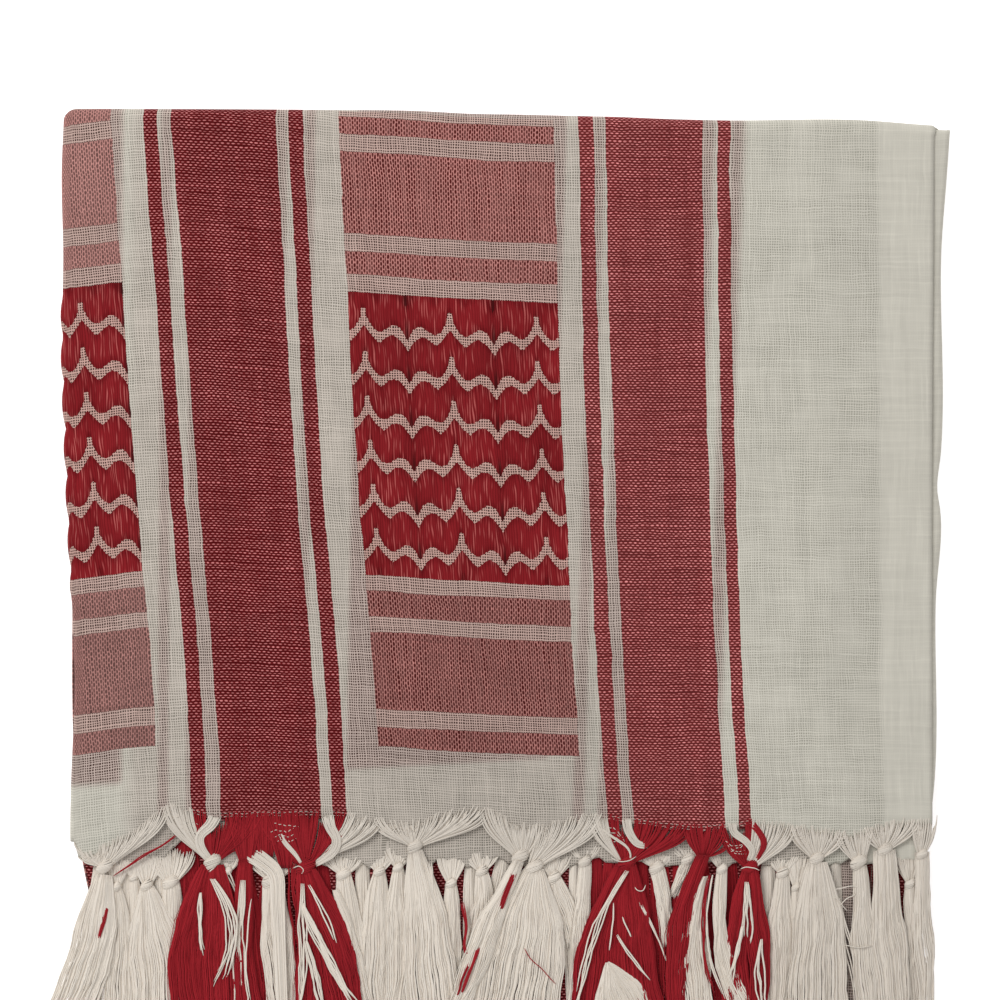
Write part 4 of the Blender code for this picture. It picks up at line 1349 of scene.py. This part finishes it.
def gather(row, x, y, width, x0, x1, start, start_height, yarns, colour=None):
    """Yarns from the end of the weave down to a knot in two sheets, along cubic curves. Each keeps
    the colour of its warp end. Returns the upper sheet's paths."""
    t = np.linspace(0.0, 1.0, GATHER_STEPS)[:, None, None]
    for shift in (0.5, 0.0):
        root = np.arange(x0 + (0.5 - shift) * YARN_SPACING, x1, YARN_SPACING)
        count = len(root)
        share = (np.arange(count) + 0.5) / count - 0.5
        colours = red_at(root, curve(WEAVE_END, root)) if colour is None else np.full(
            count, colour)
        ribboned = np.any([(root > low) & (root < high) for low, high in RIBBONED], axis=0)
        if colour is None:
            colours = colours | ribboned
        drop = 2.0 * SHEET_GAP * shift
        jitter = chance.normal(0.0, 0.10, (3, count)) - drop
        begin = start(root) - RIBBON_TAKES * (ribboned if colour is None else 0.0)
        first = np.stack([root, begin, start_height(root) - drop], axis=-1)
        last = np.stack([x + share * width, np.full(count, y), ROOT_HEIGHT[row] + jitter[0]],
                        axis=-1)
        bunch = 0.35 * np.sin(root * 1.3 + x)
        fall = begin - y
        second = first + np.stack([0.10 * (last[:, 0] - root), -0.50 * fall, 0.45 + jitter[1]],
                                  axis=-1)
        third = last + np.stack([0.34 * (root - last[:, 0]) + bunch, 0.34 * fall,
                                 0.35 + jitter[2]], axis=-1)
        paths = ((1 - t)**3 * first + 3 * t * (1 - t)**2 * second + 3 * t**2 * (1 - t) * third
                 + t**3 * last).swapaxes(0, 1)
        for shade in (WHITE, RED_YARN):
            if np.any(colours == shade):
                yarns.add(row, x, shade, paths[colours == shade], taper=COMING_FREE)
    return paths


def cross_thread(row, paths, step, begin, end, yarns):
    """A loose pick that still crosses a fan, over two yarns and under the next two."""
    count = len(paths)
    chosen = paths[int(begin * count):int(end * count), step].copy()
    window = min(9, len(chosen))
    even = np.pad(chosen[:, 1:], ((window // 2, window - 1 - window // 2), (0, 0)), mode="edge")
    chosen[:, 1:] = np.stack([np.convolve(column, np.ones(window) / window, "valid")
                              for column in even.T], axis=-1)
    index = np.arange(len(chosen))
    chosen[:, 1] += 0.30 * np.sin(index * 0.35)
    chosen[:, 2] += 0.12 + 0.34 * np.sin(index * 0.5 * math.pi + 0.8)
    yarns.add(row, chosen[0, 0], WHITE, chosen[None], radius=CROSS_RADIUS)


def emerging(x):
    """Heights along the cloth at which the yarns of the flap come free of the weave."""
    return curve(WEAVE_END, x) + chance.uniform(*EMERGE, len(x))


def last_picks(x0, x1, yarns):
    """The last picks over a red stripe, seen as dashes between the ends that cover them."""
    x = np.arange(x0, x1, 0.5 * YARN_SPACING)
    for above, cover in LAST_PICK_ROWS:
        y = curve(WEAVE_END, x) + above + 0.15 * np.sin(x * 0.5 + above)
        z = flap_height(x, y) + 0.16 + cover + 0.26 * np.sin(math.pi * x / YARN_SPACING / 2.0)
        paths = np.stack([x, y, z], axis=-1)[None]
        yarns.add(FRONT, 0.5 * (x0 + x1), WHITE, paths, radius=LAST_PICK_RADIUS)


def ribbon(colour, count, height, way, yarns):
    """A few loose yarns side by side on top of the rest: their middle passes the places of the
    way at even steps, and both ends sink in."""
    t = np.linspace(0.0, 1.0, RIBBON_STEPS)
    even = np.linspace(0.0, 1.0, len(way))
    middle = np.stack([curve(list(zip(even, axis)), t) for axis in zip(*way)], axis=-1)
    ahead = unit(np.gradient(middle, axis=0))
    beside = (np.arange(count) - 0.5 * (count - 1)) * 0.9 * YARN_SPACING
    beside = beside[:, None] * (1.0 - 0.45 * t) + 0.10 * np.sin(
        t * 9.0 + 6.0 * chance.random((count, 1)))
    z = height - 0.9 * (2.0 * t - 1.0) ** 4 + chance.normal(0.0, 0.05, (count, 1))
    paths = np.stack([middle[:, 0] - beside * ahead[:, 1], middle[:, 1] + beside * ahead[:, 0], z],
                     axis=-1)
    yarns.add(FRONT, way[0][0], colour, paths, radius=0.30 if count > 1 else 0.20,
              taper=COMING_FREE)


print("a fan over 10 mm of weave has", 2 * round(10.0 / YARN_SPACING), "yarns in two sheets")

# %% [markdown]
# Where each knot sits and where each lock goes is the one thing here that no formula gives,
# because hands tied them. Three tables hold it, in mm: the knots of the flap with the stretch
# of weave that each one gathers, the locks of both rows of tassels, and the ribbons of
# loose yarn on top. The knots of the lower row follow from its locks.

# %% Where the knots, locks and ribbons lie
LAST_PICKS = ((-100.6, -49.6), (38.6, 87.0))  # (from x, to x)
# (colour, x, y, width, from x, to x), without a colour where the ends are only drawn together
KNOTS = (
    (WHITE, -130.0, -87.6, 5.4, -139.0, -109.5),
    (WHITE, -94.0, -86.0, 5.6, -109.5, -77.4),
    (None, -82.8, -86.2, 5.6, -87.0, -79.4),
    (None, -76.6, -84.4, 7.0, -80.0, -73.4),
    (None, -69.6, -88.2, 5.0, -74.0, -67.0),
    (RED_YARN, -62.6, -87.6, 6.4, -77.4, -47.2),
    (None, -58.4, -85.6, 3.4, -47.2, -38.6),
    (WHITE, -26.1, -80.9, 5.0, -38.6, -3.0),
    (WHITE, 9.2, -84.3, 5.6, -3.0, 15.7),
    (WHITE, 13.9, -87.6, 5.8, 15.7, 35.8),
    (RED_YARN, 44.9, -86.4, 6.0, 33.2, 65.0),
    (None, 70.4, -84.5, 5.0, 65.0, 77.0),
    (RED_YARN, 86.0, -88.0, 5.2, 77.0, 100.5),
    (WHITE, 108.5, -85.0, 4.8, 100.5, 116.2),
    (WHITE, 122.6, -86.0, 5.4, 116.2, 125.6),
    (WHITE, 131.3, -82.0, 5.0, 125.6, 141.4),
    (WHITE, 143.7, -83.6, 3.6, 141.4, 147.2),
)
# (row, colour, root x, root y, root width, foot x, foot y, foot width, bow, lift)
LOCKS = (
    (FRONT, WHITE, -130.3, -90.1, 5.4, -144.9, -144.1, 15.4, 2.0, 0.0),
    (FRONT, RED_YARN, -96.1, -87.0, 3.4, -100.8, -142.4, 10.1, -5.0, 0.0),
    (FRONT, RED_YARN, -93.8, -87.0, 4.4, -93.5, -145.7, 11.4, -0.7, -0.3),
    (FRONT, RED_YARN, -91.8, -87.0, 2.7, -88.1, -145.7, 8.7, 1.7, 0.0),
    (FRONT, RED_YARN, -83.1, -85.2, 4.7, -78.8, -144.1, 6.0, -2.4, -0.4),
    (FRONT, WHITE, -97.8, -96.1, 0.7, -96.8, -117.9, 2.3, -1.0, 0.7),
    (FRONT, WHITE, -93.8, -91.5, 1.7, -93.5, -129.0, 4.5, 6.2, 0.7),
    (FRONT, WHITE, -80.7, -98.2, 0.5, -80.7, -134.0, 0.5, -1.7, 0.8),
    (FRONT, WHITE, -63.7, -93.1, 1.3, -65.3, -142.4, 3.0, 0.7, 0.7),
    (FRONT, WHITE, -62.6, -112.2, 1.0, -55.3, -142.4, 3.4, 0.0, 0.7),
    (FRONT, WHITE, -63.7, -99.8, 1.0, -42.5, -138.4, 3.7, -1.7, 0.8),
    (FRONT, WHITE, -61.6, -93.5, 1.0, -52.6, -114.9, 1.0, 1.0, 0.7),
    (FRONT, RED_YARN, -62.6, -88.5, 4.0, -49.6, -144.1, 17.4, 0.0, 0.0),
    (FRONT, RED_YARN, -64.2, -88.5, 3.0, -60.6, -145.7, 10.7, 1.3, 0.1),
    (FRONT, RED_YARN, -60.4, -88.5, 1.7, -47.2, -127.3, 4.7, 1.7, 0.1),
    (FRONT, WHITE, -26.1, -82.1, 4.4, -19.1, -145.7, 16.8, 0.7, 0.2),
    (FRONT, WHITE, -21.8, -86.1, 2.3, -18.4, -104.9, 2.3, 0.0, 0.0),
    (FRONT, WHITE, 8.6, -85.5, 3.4, -14.4, -142.4, 8.0, -1.0, 1.1),
    (FRONT, WHITE, 13.9, -88.0, 6.0, 6.0, -145.7, 30.8, -0.7, 0.1),
    (FRONT, RED_YARN, 43.4, -87.0, 4.7, 31.8, -145.7, 12.7, -2.7, 0.0),
    (FRONT, RED_YARN, 45.2, -87.0, 5.4, 50.6, -145.7, 16.1, -1.3, 0.1),
    (FRONT, WHITE, 44.9, -88.8, 1.3, 27.1, -141.7, 2.3, -3.7, 0.8),
    (FRONT, WHITE, 43.9, -90.1, 0.7, 35.8, -102.8, 1.0, 0.0, 0.8),
    (FRONT, WHITE, 40.2, -99.5, 0.7, 38.2, -119.9, 0.7, 0.7, 0.7),
    (FRONT, WHITE, 43.2, -104.2, 0.5, 46.6, -112.2, 0.5, 0.0, 0.7),
    (FRONT, WHITE, 41.5, -110.2, 1.0, 56.3, -129.6, 1.0, -1.0, 0.7),
    (FRONT, WHITE, 38.2, -119.6, 1.0, 47.2, -145.7, 18.8, 0.3, 0.5),
    (FRONT, RED_YARN, 70.4, -83.6, 4.4, 63.0, -145.7, 7.4, -4.7, 0.9),
    (FRONT, WHITE, 71.0, -90.8, 1.7, 71.4, -145.7, 11.4, -4.4, 0.5),
    (FRONT, RED_YARN, 72.4, -90.1, 1.3, 76.0, -134.0, 1.7, -4.0, 1.0),
    (FRONT, WHITE, 73.4, -90.1, 1.0, 78.1, -134.0, 1.3, -3.7, 1.0),
    (FRONT, RED_YARN, 84.6, -89.0, 2.4, 83.4, -142.4, 8.7, -2.6, 0.3),
    (FRONT, WHITE, 84.8, -92.5, 1.3, 84.1, -114.9, 2.7, 1.0, 0.8),
    (FRONT, WHITE, 83.4, -107.2, 1.0, 79.7, -127.3, 2.0, 0.0, 0.8),
    (FRONT, RED_YARN, 86.8, -88.6, 3.7, 88.4, -144.1, 6.7, 1.4, 0.2),
    (FRONT, WHITE, 89.8, -111.6, 0.7, 91.1, -142.4, 3.0, -1.0, 0.7),
    (FRONT, WHITE, 108.5, -86.1, 6.7, 108.5, -145.7, 19.4, 0.3, 0.2),
    (FRONT, WHITE, 122.8, -87.2, 4.6, 126.3, -145.7, 8.4, 0.3, 0.0),
    (FRONT, WHITE, 131.0, -82.1, 7.4, 135.3, -145.7, 10.7, -0.3, 0.3),
    (FRONT, WHITE, 143.7, -82.7, 4.7, 145.7, -144.1, 5.7, -0.3, 0.0),
    (LOWER, WHITE, -126.6, -94.8, 3.7, -130.3, -144.1, 14.7, 1.0, 0.0),
    (LOWER, WHITE, -120.6, -91.5, 3.0, -121.9, -144.1, 4.7, 1.0, -0.4),
    (LOWER, WHITE, -116.2, -94.1, 4.0, -112.6, -145.7, 20.8, 1.3, 0.3),
    (LOWER, WHITE, -108.2, -93.1, 5.4, -104.9, -135.7, 8.0, 0.0, -0.2),
    (LOWER, RED_YARN, -84.8, -84.0, 3.4, -81.4, -145.7, 10.7, 1.7, -0.5),
    (LOWER, WHITE, -83.8, -92.1, 1.7, -84.1, -142.4, 3.6, -1.0, 0.9),
    (LOWER, WHITE, -89.1, -89.4, 3.0, -86.1, -97.2, 1.3, 0.0, 0.3),
    (LOWER, WHITE, -74.0, -92.1, 6.7, -70.0, -145.7, 10.7, 0.0, 0.5),
    (LOWER, RED_YARN, -67.7, -86.0, 2.6, -64.3, -134.0, 3.8, 0.3, 0.2),
    (LOWER, WHITE, -52.9, -95.5, 2.0, -43.2, -139.0, 5.0, 1.7, 0.7),
    (LOWER, WHITE, -38.2, -89.4, 3.7, -37.9, -144.1, 12.7, -1.3, 0.1),
    (LOWER, WHITE, -31.8, -88.1, 3.4, -33.2, -144.1, 11.4, 0.3, 0.3),
    (LOWER, WHITE, -14.1, -93.5, 3.4, -15.1, -139.0, 8.0, 0.3, 0.2),
    (LOWER, WHITE, -3.7, -89.4, 4.0, -7.7, -122.3, 9.4, 2.0, 0.1),
    (LOWER, WHITE, 20.4, -91.5, 4.4, 26.5, -115.6, 6.7, 0.7, 0.3),
    (LOWER, WHITE, 30.8, -86.1, 4.0, 25.8, -144.1, 5.4, 0.7, 0.4),
    (LOWER, WHITE, 45.9, -94.1, 2.0, 61.3, -125.0, 1.3, 0.7, 0.9),
    (LOWER, WHITE, 54.9, -88.1, 4.7, 60.4, -115.0, 5.6, 0.0, 0.4),
    (LOWER, WHITE, 65.6, -85.4, 4.7, 60.8, -99.0, 4.7, 0.0, -0.1),
    (LOWER, WHITE, 76.7, -88.4, 3.4, 88.4, -144.1, 6.2, -5.4, 2.1),
    (LOWER, WHITE, 97.2, -90.1, 4.0, 95.1, -144.1, 9.7, 0.0, 0.2),
    (LOWER, WHITE, 101.8, -94.8, 3.0, 101.8, -134.0, 5.4, 0.0, 0.0),
    (LOWER, WHITE, 115.6, -98.2, 1.0, 121.6, -134.0, 2.0, 0.7, 0.0),
    (LOWER, WHITE, 140.0, -93.5, 3.4, 142.4, -144.1, 6.4, 0.0, 0.2),
    (LOWER, WHITE, 131.7, -82.0, 6.7, 133.0, -144.1, 8.7, 0.0, -0.6),
    (LOWER, WHITE, 114.6, -82.0, 3.4, 115.6, -144.1, 6.7, 0.0, -0.8),
    (LOWER, RED_YARN, -58.6, -82.0, 4.0, -56.6, -144.1, 10.1, 0.0, -0.8),
    (LOWER, WHITE, -50.2, -90.4, 4.7, -46.9, -144.1, 9.4, 0.7, -0.1),
    (LOWER, WHITE, -131.6, -82.0, 4.0, -137.0, -140.0, 7.0, 0.3, -0.6),
    (LOWER, WHITE, -123.4, -82.0, 4.0, -124.6, -144.1, 8.0, 0.0, -0.7),
    (LOWER, WHITE, -111.8, -82.0, 4.0, -110.6, -144.1, 8.0, 0.0, -0.7),
    (LOWER, RED_YARN, -103.4, -74.0, 7.0, -101.0, -144.1, 10.0, 0.0, -0.8),
    (LOWER, WHITE, -44.2, -82.0, 3.4, -42.6, -144.1, 7.4, 0.0, -0.7),
    (LOWER, WHITE, -7.4, -82.0, 2.7, -8.4, -144.1, 6.0, 0.0, -0.7),
    (LOWER, WHITE, 27.4, -82.0, 2.7, 27.0, -144.1, 6.0, 0.0, -0.7),
    (LOWER, RED_YARN, 49.6, -82.0, 4.7, 49.0, -144.1, 8.0, 0.0, -0.8),
    (LOWER, RED_YARN, 34.2, -82.0, 4.0, 31.6, -144.1, 9.0, 0.0, -0.8),
    (LOWER, RED_YARN, 62.4, -82.0, 3.4, 64.4, -144.1, 7.4, 0.0, -0.8),
    (LOWER, RED_YARN, 79.4, -82.0, 4.0, 80.4, -144.1, 7.4, 0.0, -0.8),
    (LOWER, WHITE, 92.6, -82.0, 3.4, 92.0, -144.1, 6.7, 0.0, -0.7),
    (LOWER, RED_YARN, -88.8, -82.0, 3.4, -86.1, -144.1, 8.7, 0.7, -0.8),
    (LOWER, RED_YARN, -74.7, -82.0, 4.0, -75.4, -144.1, 8.7, 0.0, -0.8),
    (LOWER, RED_YARN, 39.9, -82.0, 4.0, 39.9, -144.1, 10.1, 0.0, -0.8),
    (LOWER, RED_YARN, 55.9, -82.0, 4.0, 57.3, -144.1, 9.4, 0.0, -0.8),
    (LOWER, RED_YARN, 69.3, -82.0, 3.4, 74.7, -144.1, 7.4, 0.0, -0.8),
    (LOWER, WHITE, -22.8, -82.0, 4.0, -27.1, -144.1, 10.1, 0.0, -0.6),
    (LOWER, WHITE, 4.0, -82.0, 4.0, -2.3, -144.1, 11.4, 0.0, -0.6),
    (LOWER, WHITE, 17.4, -82.0, 4.0, 17.8, -144.1, 10.1, 0.0, -0.6),
    (LOWER, RED_YARN, 86.8, -82.0, 3.4, 86.8, -144.1, 7.4, 0.0, -0.8),
)

# (colour, yarns side by side, height, then the places (x, y) that the ribbon passes)
RIBBONS = (
    (RED_YARN, 2, 8.3, (-106.0, -77.0), (-111.0, -80.6), (-116.6, -83.6), (-121.6, -87.0),
     (-127.3, -90.8)),
    (RED_YARN, 4, 8.3, (-129.0, -99.6), (-130.0, -104.0), (-131.2, -108.4), (-132.4, -113.0)),
    (WHITE, 10, 8.7, (-92.9, -70.2), (-94.6, -73.6), (-98.0, -77.2), (-97.8, -81.2),
     (-94.8, -85.6)),
    (WHITE, 10, 8.7, (-55.6, -70.2), (-54.4, -74.4), (-52.4, -78.6), (-54.0, -83.0),
     (-59.6, -86.8)),
    (WHITE, 15, 8.3, (-82.8, -82.2), (-77.4, -85.6), (-72.8, -90.4), (-72.2, -100.0),
     (-71.6, -112.0), (-71.0, -126.0), (-70.4, -142.0)),
    (WHITE, 1, 8.9, (-67.0, -88.2), (-65.0, -87.2), (-63.6, -88.6), (-64.4, -90.4)),
    (WHITE, 4, 8.6, (-72.0, -73.6), (-70.2, -78.6), (-66.2, -83.6), (-63.8, -87.2)),
    (RED_YARN, 5, 9.7, (7.7, -87.8), (5.7, -92.8), (3.7, -97.8), (2.6, -102.0)),
    (RED_YARN, 3, 8.3, (-10.4, -99.8), (-9.0, -107.2), (-9.7, -113.9), (-8.4, -118.3)),
    (RED_YARN, 3, 9.3, (-4.7, -113.9), (-7.0, -120.6), (-9.0, -125.6), (-10.7, -130.3)),
    (RED_YARN, 2, 9.2, (-7.7, -118.9), (-10.0, -124.4), (-11.2, -128.0), (-12.0, -131.0)),
    (RED_YARN, 1, 8.9, (10.4, -114.9), (13.1, -118.9), (16.8, -122.3), (21.1, -127.0)),
    (WHITE, 2, 8.8, (34.5, -73.4), (39.9, -77.4), (44.4, -80.7), (46.0, -83.8), (45.2, -86.6)),
    (WHITE, 8, 8.7, (44.6, -71.0), (45.6, -76.0), (48.0, -79.6), (52.0, -80.6)),
    (WHITE, 1, 9.1, (39.5, -84.4), (42.2, -85.8), (45.2, -85.4), (48.0, -84.2)),
    (WHITE, 1, 8.9, (47.2, -94.0), (48.3, -95.5), (50.0, -95.4), (51.2, -93.8)),
    (WHITE, 7, 8.8, (80.2, -72.0), (80.8, -76.0), (84.6, -79.2), (86.8, -82.4), (85.6, -86.0)),
    (RED_YARN, 6, 8.8, (85.8, -72.0), (89.4, -76.6), (90.6, -80.4), (88.2, -85.6)),
    (WHITE, 1, 9.2, (82.9, -88.3), (85.0, -87.6), (87.2, -87.9), (89.1, -88.9)),
    (WHITE, 1, 8.6, (114.2, -95.4), (119.6, -94.1), (125.0, -95.1)),
    (WHITE, 1, 8.6, (115.6, -100.9), (118.6, -98.2), (121.9, -96.5)),
    (WHITE, 1, 8.6, (113.9, -97.4), (116.3, -99.6), (118.6, -102.6)),
    (WHITE, 1, 8.6, (117.6, -114.0), (122.6, -114.5), (127.3, -114.2)),
)


print("knots, locks, ribbons:", len(KNOTS), len(LOCKS), len(RIBBONS))

# %% [markdown]
# The fringe is tied in the order in which it would be laid: fans and knots of the flap, then
# the tassels, then the loose yarns. Each run and colour becomes one mesh, so that a
# run can stand for its own solid. The yarns' two materials differ only in their
# tones, which each yarn picks by a random number of its own.

# %% The fringe
def tie_fringe():
    """All fans, knots, locks, ribbons and last picks."""
    yarns = Yarns()
    for colour, x, y, width, x0, x1 in KNOTS:
        paths = gather(FRONT, x, y, width * 0.8, x0 - 1.5, x1 + 1.5, emerging,
                       lambda at: flap_height(at, curve(WEAVE_END, at) + 3.0) - 0.25, yarns)
        if colour is None:
            continue
        for step in CROSSED_STEPS:
            begin = 0.03 + 0.12 * chance.random()
            cross_thread(FRONT, paths, step, begin, begin + CROSSED_SHARE, yarns)
        knot(FRONT, colour, x, y, width, yarns)
    for row, colour, x, y, width, *rest in LOCKS:
        if row == LOWER and width > 2.6 and rest[-1] > HIDDEN_LIFT:
            highest = max(SECOND_END + 1.2, y + 4.0)
            gather(LOWER, x, y, width * 0.8, x - 1.5 * width, x + 1.5 * width,
                   lambda at: highest + chance.uniform(0.8, 4.2, len(at)),
                   lambda at: np.full(len(at), LOWER_START), yarns, colour=colour)
            knot(LOWER, colour, x, y, width, yarns, lift=rest[-1])
        lock(row, colour, x, y, width, *rest, yarns)
    for colour, count, height, *way in RIBBONS:
        ribbon(colour, count, height, way, yarns)
    for x0, x1 in LAST_PICKS:
        last_picks(x0, x1, yarns)
    return yarns


GREYER_FROM, GREYER_BY = (0.080, 0.112), 0.09  # metres across
NEAR_WEAVE = (-0.092, -0.080)  # metres along
# (darkest tone, lightest tone, share of painted shade by which the yarns darken towards the weave)
WHITE_TONES = ((0.735, 0.663, 0.577), (0.875, 0.800, 0.708), 0.15)
RED_TONES = ((0.250, 0.010, 0.016), (0.400, 0.020, 0.028), 0.08)


def yarn_material(name, dark, light, near_weave):
    """Loosely spun cotton: a tone for each yarn and fine fibres along it, greyer towards the right,
    and darkened towards the weave by painted shade."""
    material, tree, shader = matt_material(name, 0.88, 0.05)
    read = tree.nodes.new("ShaderNodeAttribute")
    read.attribute_name = "tone"
    tone = Wire(tree, read.outputs["Fac"])
    place = tree.nodes.new("ShaderNodeTexCoord")
    parts = tree.nodes.new("ShaderNodeSeparateXYZ")
    tree.links.new(place.outputs["Object"], parts.inputs[0])
    x, y = Wire(tree, parts.outputs[0]), Wire(tree, parts.outputs[1])
    fibre = noise(x * 3200.0, y * 900.0, 1.0)
    level = (tone * 0.6 + fibre * 0.6 - 0.1).clipped()
    # greyer: greying towards the right, and painted shade near the weave
    greyer = (x.ease(*GREYER_FROM) * GREYER_BY).math("MAXIMUM", y.ease(*NEAR_WEAVE) * near_weave)
    colour = shade_colour(blend_colour(level, dark, light), 1.0 - greyer)
    plug(tree, colour, shader.inputs["Base Color"])
    raise_surface(tree, shader, fibre, 0.05, 0.5)
    return material


YARN_MATERIALS = [yarn_material(name, *tones)
                  for name, tones in zip(COLOUR_NAMES, (WHITE_TONES, RED_TONES))]
TASSELS = tie_fringe().pieces(YARN_MATERIALS)
for name, (_, _, piece) in TASSELS.items():
    print(name, len(piece.data.polygons) * 2, "triangles")

# %% [markdown]
# The scarf needs something to lie on. A large plain square of pale, matt table is enough: it
# catches the soft shadow that tells the eye how thick the bundle is.

# %% Table
TABLE_HALF, TABLE_TOP = 3000.0, -0.3
# the table's glow is painted light: it whitens the table and washes out most of the shadow
TABLE_PALE, TABLE_GLOW = 0.93, 0.55


def lay_table():
    """A plain pale table top, a hair under the cloth so that no two faces share a plane. It also
    glows: painted light that whitens it and washes out most of the bundle's shadow.
    """
    corners = [(across * TABLE_HALF, along * TABLE_HALF, TABLE_TOP)
               for across, along in ((-1, -1), (1, -1), (1, 1), (-1, 1))]
    material, _, shader = matt_material("pale_table", 0.9, 0.0)
    shader.inputs["Base Color"].default_value = (TABLE_PALE, TABLE_PALE, TABLE_PALE, 1.0)
    shader.inputs["Emission Color"].default_value = (1.0, 1.0, 1.0, 1.0)
    shader.inputs["Emission Strength"].default_value = TABLE_GLOW
    table = make_piece("table", corners, [(0, 1, 2, 3)], material)


lay_table()
print("the table top lies at", TABLE_TOP, "mm")

# %% [markdown]
# Last, each piece is tied to the fixed frame: it rides on the one body, and the part of the
# model that it stands for is hidden.

# %% The frame
for piece, node, slot_name in ((OUTER, "outer_layer", "woven_cloth"),
                               (INNER, "hidden_layers", "hidden_cloth"),
                               (SECOND, "hidden_layers", "woven_cloth"),
                               (BACK, "hidden_layers", "woven_cloth")):
    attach(piece, "root")
    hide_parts(node)
for node, colour, piece in TASSELS.values():
    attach(piece, "root")
    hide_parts(node)
